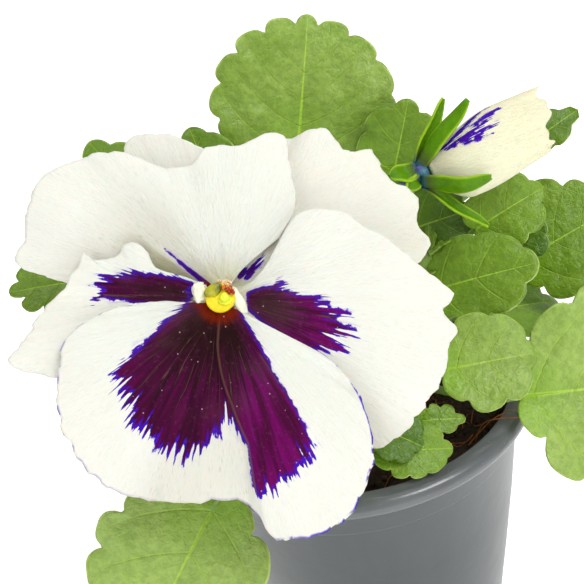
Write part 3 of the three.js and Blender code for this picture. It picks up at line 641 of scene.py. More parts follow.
veined = blend(times(lines, 0.7), blade, colour(176, 214, 60))
# Painted highlight: a pale rim, in patches, along the edge of each leaf.
lit_edge = rise(cloud(place, 160, 2), 0.42, 0.6)
brink = times(rise(edge, 0.975, 0.995), times(lit_edge, 0.6))
link(shader, "Base Color", blend(brink, veined, colour(196, 222, 116)))
gloss = ranged(cloud(place, 400, 3), 0.24, 0.4)
link(shader, "Roughness", gloss)
relief(shader, (on_vein, -0.00014), (on_net, -0.00004), (wrinkles, 0.00055))

dice = random.Random(17)
for name, (foot, route, leaves) in LEAFY_STEMS.items():
    stem, blades = leafy_stem(name, foot, route, leaves, dice)
    thicken(blades, LEAF_THICKNESS)
    for piece, slot in ((stem, "stalk"), (blades, "leaf")):
        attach(piece, "root")
        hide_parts("leafy_stem_" + name)

# ---- The open bloom's stalk ----
# A smooth green flower stalk that stands in the soil, arches over behind the bloom and carries it on a
# small cup, with five narrow pointed sepals spread under the petals.
BLOOM_CENTRE = (-22, -48, 138)
BLOOM_FORWARD = (0, -0.883, 0.469)
BLOOM_UP = (0.216, 0.458, 0.862)
FLOWER_STALK_RADIUS = 1.3
SEPAL_FOOT = 2
SEPAL_THICKNESS = 0.5
SEPAL_LAYERS = ("flank", "along")
CUP_PROFILE = [(0, 0), (0.9, 0), (1.7, 0.6), (2.4, 1.7), (2.6, 2.8), (2.5, 4), (0, 4)]
OPEN_STALK_FOOT = (0, -5)
OPEN_STALK_ROUTE = [(-5, -12, 96), (-14, -23, 114), (-20, -32, 127)]
OPEN_CUP = -8.5
OPEN_SEPAL_TURNS = (20, 92, 165, 232, 308)
OPEN_SEPAL_LIFT = -8
OPEN_SEPAL_BOW = 0.3
OPEN_SEPAL_LENGTH = 13
OPEN_SEPAL_WIDTH = 4.4
OPEN_SEPAL_HEIGHT = -6


def flower_frame(centre, forward, up):
    """A flower's own axes: z the way that it opens, y up."""
    z = Vector(forward).normalized()
    y = Vector(up)
    y = (y - z * y.dot(z)).normalized()
    return Matrix.Translation(centre) @ Matrix((y.cross(z), y, z)).transposed().to_4x4()


def add_sepal(bm, layers, axes, around, lift, length, wide, height, bow=0, twist=0):
    """Adds a pointed sepal, keeled along its middle and turned about its length, that springs from the cup.
    Its layers say how near it is to its flanks, and how far along it lies."""
    turn = Matrix.Rotation(math.radians(around), 4, "Z") @ Matrix.Translation((SEPAL_FOOT, 0, height))
    turn = axes @ turn @ Matrix.Rotation(-math.radians(lift), 4, "Y")
    turn = turn @ Matrix.Rotation(math.radians(twist), 4, "X")

    def place(u, v):
        across = (u - 0.5) * wide * math.sin(math.pi * (0.14 + 0.84 * v)) ** 0.5
        keel = 0.5 * (1 - abs(2 * u - 1)) * (1 - v) - 0.4 * abs(2 * u - 1) ** 2
        curl = bow * math.sin(math.pi * v) + 0.25 * math.sin(9 * v + around)
        return turn @ Vector((length * v, across, curl - keel)), dict(zip(layers, (abs(2 * u - 1), v)))

    shaped_grid(bm, 12, 20, place)


def flower_stalk(foot, route, calyx_back, axes):
    """Adds a flower's stalk with the cup at its end."""
    end = [axes @ Vector((0, 0, calyx_back - 2)), axes @ Vector((0, 0, calyx_back + 1))]
    bm = bmesh.new()
    line = curve_through(rooted(foot, route) + end, 10)
    strand(bm, line, lambda share: FLOWER_STALK_RADIUS * (1.1 - 0.15 * share), 12)
    cup_mesh = spun([(radius, calyx_back + height) for radius, height in CUP_PROFILE], 24)
    cup_mesh.transform(axes)
    carried = bpy.data.meshes.new("cup")
    cup_mesh.to_mesh(carried)
    bm.from_mesh(carried)
    cup_mesh.free()
    bpy.data.meshes.remove(carried)
    bmesh.ops.recalc_face_normals(bm, faces=bm.faces)
    return bm


sepal_green, shader, place = new_skin("sepal_green", 0.4, Subsurface_Weight=0.12, Subsurface_Scale=0.001,
                                     Specular_IOR_Level=0.15)
flank, along = attributes(shader, SEPAL_LAYERS)
streaky = cloud(place, 420, 4, 0.6)
middle = blend(streaky, colour(62, 110, 0), colour(100, 152, 0))
margin = blend(streaky, colour(108, 158, 6), colour(170, 204, 50))
green = blend(rise(flank, 0.7, 1), middle, margin)
green = blend(times(rise(along, 0.32, 0.1), 0.7), green, colour(74, 70, 44))
link(shader, "Base Color", blend(rise(along, 0.14, 0.02), green, colour(40, 88, 104)))
relief(shader, (streaky, 0.0004), (cloud(place, 1800, 3), 0.0001))

bloom = flower_frame(BLOOM_CENTRE, BLOOM_FORWARD, BLOOM_UP)
stalk_mesh = flower_stalk(OPEN_STALK_FOOT, OPEN_STALK_ROUTE, OPEN_CUP, bloom)
open_stalk = finished("open_bloom_stalk_and_cup", stalk_mesh, stem_green)
sepals_mesh = bmesh.new()
layers = new_layers(sepals_mesh, SEPAL_LAYERS)
for around in OPEN_SEPAL_TURNS:
    add_sepal(sepals_mesh, layers, bloom, around, OPEN_SEPAL_LIFT, OPEN_SEPAL_LENGTH, OPEN_SEPAL_WIDTH,
              OPEN_SEPAL_HEIGHT, OPEN_SEPAL_BOW)
open_sepals = finished("open_bloom_sepals", sepals_mesh, sepal_green)
thicken(open_sepals, SEPAL_THICKNESS)
for piece in (open_stalk, open_sepals):
    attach(piece, "root")
    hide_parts("open_bloom_stalk")

# ---- The open bloom's petals ----
# Five thin white petals in three layers: two upper ones behind, two side ones, and a broad lower one in
# front. The side and lower petals carry the dark face, whose torn edge runs out in violet strokes, and fine
# radial veins.
CLAW_RADIUS = 2.3
BLOOM_RADIUS = 40
PETAL_THICKNESS = 0.4
PETAL_COLUMNS = 150
PETAL_ROWS = 54
RIM_STEPS = 240
# An edge and a mark are outlines seen from the front, as (degrees, millimetres from the bloom's middle).
# layer is how far forward a petal lies, lean how much further its outer part does, bulge how much it
# swells, wave how high its frills are and claw the degrees between which it springs. bow and neck turn
# the side where the edge begins, in degrees. torn is how ragged the mark ends, swell how many millimetres
# wider it is, and tinge how violet the petal's edge is.
PETALS = {
    "upper_right_petal": dict(
        layer=-3.7, lean=-5.4, bulge=0.3, wave=0.7, frills=5, claw=(35, 80), tinge=0,
        edge=[(12, 22), (9, 36), (14, 41), (22, 40), (27, 42), (37, 39), (44, 40.5), (51, 36.7), (59, 38),
              (68, 33), (85, 28), (99, 29), (109, 33.3), (122, 35.5), (128, 28), (122, 14)],
        mark=[(58.4, 5.1), (54.5, 6.6), (50.8, 7.9), (48.4, 6.7), (49.6, 8.4), (45.5, 11.2), (42.8, 9.6),
              (39.7, 8.4), (34, 6.3), (36.5, 5.3), (43.6, 5.6), (48.3, 4.4)]),
    "upper_left_petal": dict(
        layer=-1.7, lean=-2.6, bulge=1.2, wave=0.6, frills=5, claw=(54, 150), tinge=0.25, bow=7.5, torn=0,
        swell=0.15,
        edge=[(46, 15.5), (51, 22), (64, 28.6), (69, 32.7), (75, 32), (82, 29), (96, 28.3), (104, 25.5),
              (115, 27), (125, 33.5), (140, 39.2), (145, 41), (158, 40.5), (164, 39), (170, 40.2),
              (173, 34), (176, 22), (172, 12)],
        mark=[(130, 3.3), (135.5, 6), (138.2, 9.4), (139.3, 14), (141, 9.6), (142.5, 6.3), (144, 3.6)]),
    "left_petal": dict(
        layer=0.2, lean=0.6, bulge=0.9, wave=0.6, frills=4, claw=(142, 205), tinge=0.45, neck=9.5,
        edge=[(149, 15.8), (147, 18.8), (151, 20.3), (157, 20.6), (163.5, 24.6), (162, 26.6), (168, 27.2),
              (179, 30), (185, 33.7), (190, 36), (197, 40.7), (201, 37.7), (206, 34), (212, 27), (216, 15)],
        mark=[(151, 5.6), (153.5, 8.7), (159, 12.3), (163, 16), (169, 20.4), (174, 24.2), (176, 21.5),
              (180, 22.4), (182, 18.5), (186, 13.4), (190, 8), (185, 5.3)]),
    "right_petal": dict(
        layer=0.2, lean=0.4, bulge=0.8, wave=0.6, frills=5, claw=(-48, 37), tinge=0, bow=-19,
        edge=[(50, 20), (46, 23.2), (37, 27), (29, 29), (21, 32), (9.5, 37), (1, 42.9), (-3.5, 41.6),
              (-8.5, 43.8), (-12, 42.6), (-18, 43.8), (-27, 42.7), (-38, 41.6), (-45, 39.4), (-52, 33),
              (-56, 20), (-54, 10)],
        mark=[(13.5, 4.8), (15.5, 7.7), (13.8, 10), (5, 12.6), (0.7, 17.5), (-3.7, 19.8), (-6.2, 24.3),
              (-10.5, 20.5), (-12.5, 25.8), (-18, 22), (-23.4, 24.3), (-28, 20.5), (-31, 17.8),
              (-32.5, 12.7), (-31, 8.6), (-25, 5.2)]),
    "lower_petal": dict(
        layer=1.9, lean=2.6, bulge=1.4, wave=0.6, frills=5, claw=(206, 318), tinge=1,
        edge=[(184, 10), (185, 18.6), (194, 28.4), (204, 32.2), (216, 36), (231, 39.1), (242, 40),
              (257, 38), (270, 36.8), (279, 38.5), (283, 44.8), (293, 45.9), (300, 45.7), (310, 42.2),
              (317, 37.7), (325, 31), (330, 23.7), (329, 12)],
        mark=[(190, 1.5), (184, 5.8), (203, 10.5), (210, 16.4), (214, 20.5), (219, 23.3), (227, 24.7),
              (234, 26.7), (242, 28.1), (249, 28.8), (256, 30), (263, 27.8), (266, 25.4), (270, 22.3),
              (275, 20.8), (280.8, 26.8), (280, 36), (290, 34.8), (295, 33.3), (299, 32.6), (303, 30),
              (304.5, 26), (305, 22), (306.5, 16.5), (310.5, 11.4), (323, 5.3), (350, 1.5)]),
}
# Where the lower petal's pleat runs, as (millimetres from the middle, degrees), and how high its right side
# stands.
PLEAT = [(0, 262), (8.4, 265), (19, 275.6), (26.4, 280.6), (36, 280.2), (50, 279)]
PLEAT_RISE = 0.9


def polar(degrees, radius):
    """The point of the bloom's face at an angle and a distance from its middle."""
    return Vector((radius * math.cos(math.radians(degrees)), radius * math.sin(math.radians(degrees)), 0))


def evenly_along(points):
    """A function that gives the point at a share of the line's length."""
    lengths = [0]
    for first, second in zip(points, points[1:]):
        lengths.append(lengths[-1] + (second - first).length)

    def at(share):
        want = share * lengths[-1]
        i = 0
        while i < len(lengths) - 2 and lengths[i + 1] < want:
            i += 1
        part = (want - lengths[i]) / (lengths[i + 1] - lengths[i])
        return points[i].lerp(points[i + 1], part)

    return at


def depth_inside(outline, point):
    """How far a point of the face lies inside an outline, in millimetres and below 0 outside it, and how
    squarely the nearest stretch of the outline lies across the way out from the middle, from 0 to 1."""
    nearest, across = 1e9, 0
    inside = False
    way_out = point.normalized()
    for first, second in zip(outline, outline[1:] + outline[:1]):
        side = second - first
        share = max(0, min(1, (point - first).dot(side) / side.dot(side)))
        away = (point - first - share * side).length
        if away < nearest:
            nearest, across = away, abs(side.normalized().cross(way_out))
        if (first.y > point.y) != (second.y > point.y):
            crossing = first.x + (point.y - first.y) / (second.y - first.y) * side.x
            inside = inside != (point.x < crossing)
    return (nearest if inside else -nearest), across


def pleat_turn(reach):
    """The direction of the lower petal's pleat at a distance from the middle, in radians."""
    for (near, first), (far, second) in zip(PLEAT, PLEAT[1:]):
        if reach <= far:
            break
    return math.radians(first + (second - first) * (reach - near) / (far - near))


PETAL_LAYERS = ("turn", "reach", "depth", "across", "brink", "tinge", "shade", "pleat")


def petal_mesh(name, shape):
    """One petal as a thin sheet. Its layers hold the angle, the distance from the middle, the depth inside
    the mark and how squarely that mark ends, the distance from the petal's edge, how violet that edge is,
    how much shade is painted on it, and the distance from the pleat."""
    bm = bmesh.new()
    layers = new_layers(bm, PETAL_LAYERS)
    edge = shape["edge"]
    rising = edge[0][0] < edge[-1][0]
    outline = evenly_along(curve_through([polar(*knot) for knot in edge], 12))
    rim = [outline(i / RIM_STEPS) for i in range(RIM_STEPS + 1)]
    first, last = shape["claw"] if rising else reversed(shape["claw"])
    mark = [polar(*knot).to_2d() for knot in shape["mark"]]
    seed = Vector((shape["layer"], shape["bulge"], 1)) * 3
    base_angle = math.radians(sum(shape["claw"]) / 2)

    def place(u, v):
        root = polar(first + (last - first) * u, CLAW_RADIUS)
        border = rim[round(u * RIM_STEPS)]
        torn = 1 + 0.012 * noise.noise(seed + border * 0.9) + 0.02 * noise.noise(seed + border * 0.33)
        point = root.lerp(border * torn, v)
        bow = shape.get("bow", 0) * 5 * v * math.exp(1 - 5 * v) * max(0, 1 - 2 * u) ** 3
        neck = shape.get("neck", 0) * math.sin(math.pi * v ** 1.6) * max(0, 1 - (u / 0.35) ** 2)
        point.rotate(Matrix.Rotation(math.radians(bow + neck), 3, "Z"))
        reach = point.length / BLOOM_RADIUS
        ripple = shape["wave"] * math.sin(2 * math.pi * shape["frills"] * u) * v ** 3 * reach
        fine = 0.5 * noise.noise(seed + border * 0.22) * v ** 5 + 0.25 * math.sin(46 * u + 5 * v) * v ** 7
        fine += 0.35 * noise.noise(seed + border * 0.6) * v ** 9
        swell = shape["bulge"] * math.sin(math.pi * u) * math.sin(math.pi * v)
        crease = 0.16 * math.sin(30 * u) * v * (1 - v) + 0.1 * noise.noise(seed + Vector((40 * u, v, 0))) * v
        soft = 0.9 * noise.noise(seed + point * 0.07) * v
        z = shape["layer"] + shape["lean"] * reach ** 2 + swell + ripple + fine + crease + soft
        turn = math.atan2(point.y, point.x)
        turn = base_angle + math.remainder(turn - base_angle, 2 * math.pi)
        off_pleat = 9
        if name == "lower_petal":
            off_pleat = math.remainder(turn - pleat_turn(point.length), 2 * math.pi) * point.length
            side = math.tanh(off_pleat / 0.5)
            z += PLEAT_RISE * side * math.exp(-abs(off_pleat) / 7) * min(1, point.length / 16)
        # Painted shade: on the upper left petal near its claw and where it runs behind the left petal, on the
        # lower petal left of its pleat, and on the lower part of the right petal.
        shade = 0
        if name == "upper_left_petal":
            shade = 0.8 * step_up(turn, 2.47, 2.56) * step_up(point.length, 24, 9)
            shade += 0.34 * step_up(turn, 1.9, 2.3) * step_up(point.length, 34, 14)
        if name == "lower_petal":
            shade = 0.2 * step_up(turn, 4.2, 4.5) * step_up(off_pleat, 0.2, -1)
            shade *= step_up(point.length, 18, 28)
        if name == "right_petal":
            shade = 0.3 * step_up(turn, -0.5, -0.72) * step_up(point.length, 20, 28)
        depth, across = depth_inside(mark, point.to_2d())
        depth += shape.get("swell", 0)
        across *= shape.get("torn", 1)
        to_edge = (border * torn - point).length
        tinge = shape["tinge"] * edge_tinge(turn)
        values = (turn, point.length, depth, across, to_edge, tinge, shade, off_pleat)
        return bloom @ Vector((point.x, point.y, z)), dict(zip(layers, values))

    shaped_grid(bm, PETAL_COLUMNS, PETAL_ROWS, place)
    return bm


def step_up(value, low, high):
    """0 at low and 1 at high, which may be the smaller, with a smooth step between them."""
    share = max(0, min(1, (value - low) / (high - low)))
    return share * share * (3 - 2 * share)


def edge_tinge(turn):
    """How violet the edge is at an angle: most at the lower right and the lower left of the bloom."""
    right_side = math.exp(-(math.remainder(turn - math.radians(310), 2 * math.pi) / 0.5) ** 2)
    left_side = math.exp(-(math.remainder(turn - math.radians(212), 2 * math.pi) / 0.45) ** 2)
    return 0.25 + 0.75 * right_side + 0.35 * left_side


def swing(value, width):
    """A value from 0 to 1 as one from half the width below 0 to half above it."""
    return times(minus(value, 0.5), width)


def petal_skin(name, tint, plain=colour(225, 226, 219), wine_share=1):
    """The white, veined and marked skin of a petal."""
    skin, shader, place = new_skin(name, 0.6, Subsurface_Weight=0.2, Subsurface_Scale=0.0012,
                                   Specular_IOR_Level=0.06)
    turn, reach, depth, across, brink, tinge, shade, pleat = attributes(shader, PETAL_LAYERS)
    rays = node(shader, "CombineXYZ", {"X": times(turn, 30), "Y": times(reach, 0.11)})
    broad = cloud(rays, 0.56, 2)
    fine = cloud(rays, 1.45, 3, 0.6)
    hair = cloud(rays, 2.8, 2)
    thread = cloud(rays, 6, 2)
    grain = cloud(place, 1400, 3, 0.6)

    white = blend(cloud(place, 60, 3), tint, plain)
    threads = times(rise(thread, 0.5, 0.72), rise(broad, 0.35, 0.65))
    # The fine lines are the petal's veins, drawn stronger where shade is painted.
    strength = plus(0.12, times(shade, 0.9))
    white = blend(times(threads, strength), white, colour(120, 116, 112))
    white = blend(times(rise(reach, 9, 3), 0.35), white, colour(206, 202, 130))
    # Painted shade: the white turns greenish grey where the shade layer is high.
    white = blend(shade, white, colour(158, 156, 128))

    teeth = cloud(rays, 0.85, 1)
    tooth = minus(0.1, sums("ABSOLUTE", minus(teeth, 0.5)))
    torn = swing(broad, 5)
    torn = plus(torn, times(tooth, 15))
    torn = plus(torn, swing(fine, 5))
    torn = times(torn, rise(reach, 3, 14))
    torn = times(torn, rise(across, 0.1, 0.7))
    nibble = cloud(place, 620, 3)
    nibbled = swing(nibble, 2)
    nibbled = times(nibbled, rise(reach, 0, 18))
    nibbled = times(nibbled, rise(across, -0.3, 0.3))
    inner = plus(plus(depth, torn), nibbled)
    violet = blend(fine, colour(44, 4, 124), colour(80, 20, 200))
    warm = sums("MAXIMUM", rise(turn, 1, 0.6), rise(turn, 4.86, 4.96))
    plum = blend(rise(broad, 0.3, 0.65), colour(52, 2, 36), colour(78, 4, 58))
    magenta = blend(rise(broad, 0.3, 0.6), colour(66, 0, 46), colour(104, 0, 88))
    wine = blend(times(warm, rise(reach, 7, 16)), plum, magenta)
    heart = blend(hair, colour(22, 6, 6), colour(46, 16, 20))
    fringe = times(rise(nibble, 0.3, 0.65), rise(across, 0, 0.9))
    fringe_end = plus(0.05, times(fringe, 1.4))
    wine_part = rise(minus(inner, fringe_end), -0.2, 0.75)
    mark = blend(times(wine_part, wine_share), violet, wine)
    ragged_reach = plus(reach, swing(fine, 26))
    deep = times(rise(inner, 0.8, 3), rise(ragged_reach, 21, 8))
    mark = blend(deep, mark, heart)
    # Painted sheen: a greyish-brown patch of reflected light over the middle of the dark mark.
    painted_sheen = times(rise(cloud(place, 110, 2), 0.45, 0.75), rise(reach, 26, 14))
    mark = blend(times(painted_sheen, 0.25), mark, colour(98, 66, 72))
    veins = plus(times(turn, 8.2), times(broad, 1.7))
    off_vein = from_half(veins)
    inward = rise(reach, 27, 17)
    # The dark vein lines are the mark's own colour. The pale cores down them are painted highlights.
    mark = blend(times(rise(off_vein, 0.14, 0.04), 0.4), mark, colour(22, 8, 12))
    vein_highlight = times(rise(off_vein, 0.04, 0.012), inward)
    vein_highlight = times(vein_highlight, rise(broad, 0.42, 0.56))
    mark = blend(times(vein_highlight, 0.55), mark, colour(98, 80, 60))
    # Painted highlight: a pale brownish line along the edge of the pleat.
    fold = rise(sums("ABSOLUTE", minus(pleat, 0.35)), 0.3, 0.08)
    mark = blend(times(fold, 0.5), mark, colour(112, 76, 68))
    mark = blend(times(rise(grain, 0.55, 0.75), 0.1), mark, colour(150, 96, 126))
    glowing = plus(reach, swing(fine, 5))
    mark = blend(rise(glowing, 5.6, 3.6), mark, colour(118, 30, 0))
    lucky = node(shader, "SeparateColor", {"Color": cells(place, 950, "Color")}, output="Red")
    specks = rise(cells(place, 950), 0.16, 0.06)
    specks = times(specks, rise(lucky, 0.8, 0.86))
    mark = blend(times(specks, 0.6), mark, colour(226, 190, 206))
    stain = times(rise(inner, -0.9, 0.1), rise(fine, 0.45, 0.6))
    white = blend(times(stain, 0.3), white, colour(120, 96, 214))
    painted = blend(rise(inner, -0.1, 0.1), white, mark)
    hem = times(rise(brink, 0.6, 0.15), rise(cloud(place, 420, 3), 0.44, 0.56))
    hem = times(hem, rise(tinge, 0.1, 0.9))
    link(shader, "Base Color", blend(hem, painted, colour(56, 20, 176)))
    relief(shader, (thread, 0.00012), (fine, 0.00015), (cloud(place, 2200, 2), 0.00004))
    return skin


plain_white = petal_skin("petal_white", colour(220, 221, 209))
# Painted shade: the upper right petal, which lies behind the others, gets a creamier, darker tint of the
# white skin.
shaded_white = petal_skin("petal_white_painted_shade", colour(219, 217, 201))
for name, shape in PETALS.items():
    skin = shaded_white if name == "upper_right_petal" else plain_white
    petal = finished("fine_" + name, petal_mesh(name, shape), skin)
    thicken(petal, PETAL_THICKNESS)
    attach(petal, "root")
    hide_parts(name)

# ---- The flower's middle ----
# A yellow throat with the lime knob of the style under its olive hood, orange anthers with a few pinkish
# hairs over them, and on the claws of the two side petals a dense cream tuft of short hairs.
THROAT_RADIUS = 2.75
STYLE_BACK = -4.2
THROAT_HAIRS = 26
HAIR_RADIUS = 0.16
ANTHER_SIZE = (0.55, 0.33, 0.45)
ANTHER_OUT = 3.9
BEARD_HAIRS = 90
# The anthers on the face: each one's place across and up, and how it is turned.
ANTHERS = [(0.75, 1.95, 60), (1.35, 1.55, 75), (1.95, 1.75, 100), (2.35, 1.15, 115), (1.7, 1.1, 80)]
# The two tufts: their middle on the face, how far they spread across and up, how they are turned, and which
# way their hairs lean.
TUFTS = [((-3.95, 0.95), (1.3, 2.1), 8, 0.5), ((3.3, -0.7), (1.05, 2.7), 28, -0.5)]

yolk = mottled_skin("throat_yellow", 0.45, colour(226, 202, 0), colour(250, 228, 6), (420, 3),
                    (1600, 3, 0.5, 0.0002), (0.35, 0.65), Subsurface_Weight=0.2, Subsurface_Scale=0.001)
throat_mesh = spun([(0, STYLE_BACK), (1.9, STYLE_BACK), (1.9, 1.8), (2.4, 2.3), (THROAT_RADIUS, 2.8),
                    (2.6, 3.3), (2, 3.45), (1, 3.3), (0, 3.2)], 40)
throat_mesh.transform(bloom)
throat = finished("yellow_throat", throat_mesh, yolk)
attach(throat, "root")
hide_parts("flower_middle")


def add_ball(bm, spot, size, turn=0, lumps=0.12):
    """Adds a lumpy ball on the face: where it lies, its half sizes across, up and out, and how far it is
    turned."""
    twist = Matrix.Rotation(math.radians(turn), 4, "Z")
    for corner in bmesh.ops.create_uvsphere(bm, u_segments=24, v_segments=14, radius=1)["verts"]:
        swelling = 1 + lumps * noise.noise(corner.co * 1.6 + Vector(spot))
        shaped = Vector([value * part * swelling for value, part in zip(corner.co, size)])
        corner.co = bloom @ (twist @ shaped + Vector(spot))


lime = mottled_skin("style_lime", 0.3, colour(206, 218, 10), colour(238, 238, 60), (500, 2),
                    (2400, 3, 0.5, 0.0001), Subsurface_Weight=0.2, Subsurface_Scale=0.001)
knob_mesh = bmesh.new()
add_ball(knob_mesh, (0.85, 0.1, 4), (0.95, 0.95, 0.8))
add_ball(knob_mesh, (1.0, -0.4, 3.5), (1.35, 1.0, 0.7))
style = finished("style_knob", knob_mesh, lime)

olive = mottled_skin("style_olive", 0.35, colour(66, 76, 4), colour(176, 172, 30), (380, 3),
                     (1400, 3, 0.5, 0.0002), (0.35, 0.65), Subsurface_Weight=0.1, Subsurface_Scale=0.001)
hood_mesh = bmesh.new()
add_ball(hood_mesh, (-1.3, 1.5, 3.6), (1.9, 0.95, 0.8), 35)
add_ball(hood_mesh, (-0.7, 1.0, 3.5), (1.1, 0.55, 0.7), 40)
hood = finished("style_hood", hood_mesh, olive)

orange = mottled_skin("anther_orange", 0.6, colour(150, 40, 4), colour(240, 120, 24), (800, 3),
                      (3000, 3, 0.5, 0.0003), (0.35, 0.65))
anther_mesh = bmesh.new()
for x, y, turn in ANTHERS:
    add_ball(anther_mesh, (x, y, ANTHER_OUT), ANTHER_SIZE, turn, 0.3)
anthers = finished("anthers", anther_mesh, orange)
for piece in (style, hood, anthers):
    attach(piece, "root")

cream = mottled_skin("beard_cream", 0.8, colour(232, 226, 198), colour(246, 242, 222), (900, 3),
                     (2000, 2, 0.5, 0.0002), Subsurface_Weight=0.3, Subsurface_Scale=0.001,
                     Specular_IOR_Level=0.1)
beard_mesh = bmesh.new()
dice = random.Random(23)
for (x, y), (wide, tall), turned, lean in TUFTS:
    add_ball(beard_mesh, (x, y, 1.5), (wide, tall, 1.2), turned, 0.35)
    twist = Matrix.Rotation(math.radians(turned), 4, "Z")
    for _ in range(BEARD_HAIRS):
        turn = dice.uniform(0, 2 * math.pi)
        share = math.sqrt(dice.random())
        spread = twist @ Vector((wide * share * math.cos(turn), tall * share * math.sin(turn), 0))
        foot = Vector((x, y, 1.2 + 0.8 * (1 - share))) + spread
        tip = foot + Vector((lean * dice.uniform(0, 0.7), dice.uniform(-0.2, 0.2), dice.uniform(0.2, 0.6)))
        bend = (foot + tip) / 2 + Vector((dice.uniform(-0.1, 0.1), dice.uniform(-0.1, 0.1), 0))
        strand(beard_mesh, [bloom @ spot for spot in (foot, bend, tip)], lambda share: 0.12 + 0.12 * share, 5)
bmesh.ops.recalc_face_normals(beard_mesh, faces=beard_mesh.faces)
beard = finished("petal_beards", beard_mesh, cream)
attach(beard, "root")

blush = mottled_skin("tuft_blush", 0.7, colour(246, 214, 150), colour(255, 214, 190), (900, 3),
                     (3000, 2, 0.5, 0.0001), Subsurface_Weight=0.2, Subsurface_Scale=0.0005)
tuft_mesh = bmesh.new()
for _ in range(THROAT_HAIRS):
    foot = Vector((dice.uniform(-0.5, 1.9), dice.uniform(2.0, 2.9), 2.6))
    tip = foot + Vector((dice.uniform(-0.3, 0.3), dice.uniform(0, 0.7), dice.uniform(0.5, 1.2)))
    strand(tuft_mesh, [bloom @ spot for spot in (foot, (foot + tip) / 2, tip)], lambda share: HAIR_RADIUS, 5)
bmesh.ops.recalc_face_normals(tuft_mesh, faces=tuft_mesh.faces)
tuft = finished("throat_hairs", tuft_mesh, blush)
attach(tuft, "root")

# ---- The half-furled bloom ----
# A second bloom, still rolled, on its own stalk. Its cream petals wrap round each other and flare at the
# mouth, with a few violet strokes on the outer one. Five bright sepals clasp them at the blue-green cup.
BUD_BASE = (24.3, -16.1, 140)
BUD_AXIS = (0.984, 0.083, 0.157)
BUD_UP = (-0.177, 0.462, 0.869)
BUD_LENGTH = 26
BUD_START = 300
BUD_TURNS = 1.25
BUD_GROWTH = 2.2
BUD_FLARE = 6
INNER_TURNS = 1.1
INNER_GROWTH = 0.5
BUD_NECK = 1.9
BUD_FLAT = 0.7
# The violet strokes on the outer petal: the degrees round the bud and the millimetres along it of each
# one's foot and tip, and half its width.
BUD_STROKES = [
    ((140, 4), (105, 16), 0.9), ((145, 8), (125, 18), 0.7), ((152, 5), (140, 15), 0.8),
    ((156, 7), (154, 16), 0.5), ((162, 8), (164, 14), 0.4),
]
# The millimetres that a degree round the bud measures where the strokes are.
BUD_GIRTH = 0.13
# The petals rolled up inside the outer one: where each starts, in degrees, and its length and girth as shares
# of the outer one's.
INNER_ROLLS = [(40, 0.93, 0.78), (130, 0.92, 0.63), (200, 0.9, 0.49), (290, 0.89, 0.35), (20, 0.88, 0.2)]
BUD_STALK_FOOT = (2, 4)
BUD_STALK_ROUTE = [(3, 4, 105), (6, -2, 128), (11, -10, 137), (15.5, -15, 139)]
BUD_CUP = -4
CUP_REACH = 6.5
BUD_SEPAL_HEIGHT = -2
# Each sepal: where round the cup it springs, how far it leans along the bud, its length, width, outward bow
# and twist. The last two are the ears that the upper sepals have behind the cup.
BUD_SEPALS = [
    (90, 45.5, 15.7, 3.4, 0, -50), (120, 55.7, 17.5, 4.4, 0, 20), (225, 59.4, 14.5, 4.6, -1.8, 0),
    (270, 34.4, 16.5, 3.2, 0, 50), (20, 40, 14, 4, 0, 0),
    (152, -72, 6.5, 4.6, 0, 0), (205, -66, 4.2, 3.2, 0, 0),
]

bud = flower_frame(BUD_BASE, BUD_AXIS, BUD_UP)
bud_stalk_mesh = flower_stalk(BUD_STALK_FOOT, BUD_STALK_ROUTE, BUD_CUP, bud)
cup_blue, shader, place = new_skin("cup_blue", 0.4, Subsurface_Weight=0.1, Subsurface_Scale=0.001)
blue = blend(rise(cloud(place, 240, 3), 0.4, 0.6), colour(72, 66, 132), colour(38, 104, 124))
pale_rim = rise(cloud(place, 420, 3), 0.55, 0.7)
link(shader, "Base Color", blend(times(pale_rim, 0.6), blue, colour(150, 172, 150)))
relief(shader, (cloud(place, 500, 4), 0.0006))
for face in bud_stalk_mesh.faces:
    if (face.calc_center_median() - Vector(BUD_BASE)).length < CUP_REACH:
        face.material_index = 1
bud_stalk = finished("furled_bloom_stalk_and_cup", bud_stalk_mesh, stem_green, cup_blue)
bud_sepal_mesh = bmesh.new()
layers = new_layers(bud_sepal_mesh, SEPAL_LAYERS)
for around, lift, length, wide, bow, twist in BUD_SEPALS:
    add_sepal(bud_sepal_mesh, layers, bud, around, lift, length, wide, BUD_SEPAL_HEIGHT, bow, twist)
bud_sepals = finished("furled_bloom_sepals", bud_sepal_mesh, sepal_green)
thicken(bud_sepals, SEPAL_THICKNESS)
for piece in (bud_stalk, bud_sepals):
    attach(piece, "root")
    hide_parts("furled_bloom_stalk")


def stroke_depth(stroke, degrees, z):
    """How far a point of the bud lies inside a stroke, in millimetres and below 0 outside it."""
    (foot_turn, foot_z), (tip_turn, tip_z), half_width = stroke
    foot = Vector((foot_turn * BUD_GIRTH, foot_z))
    way = Vector((tip_turn * BUD_GIRTH, tip_z)) - foot
    spot = Vector((degrees * BUD_GIRTH, z)) - foot
    share = max(0, min(1, spot.dot(way) / way.dot(way)))
    return half_width * math.sin(math.pi * (0.12 + 0.84 * share)) - (spot - share * way).length


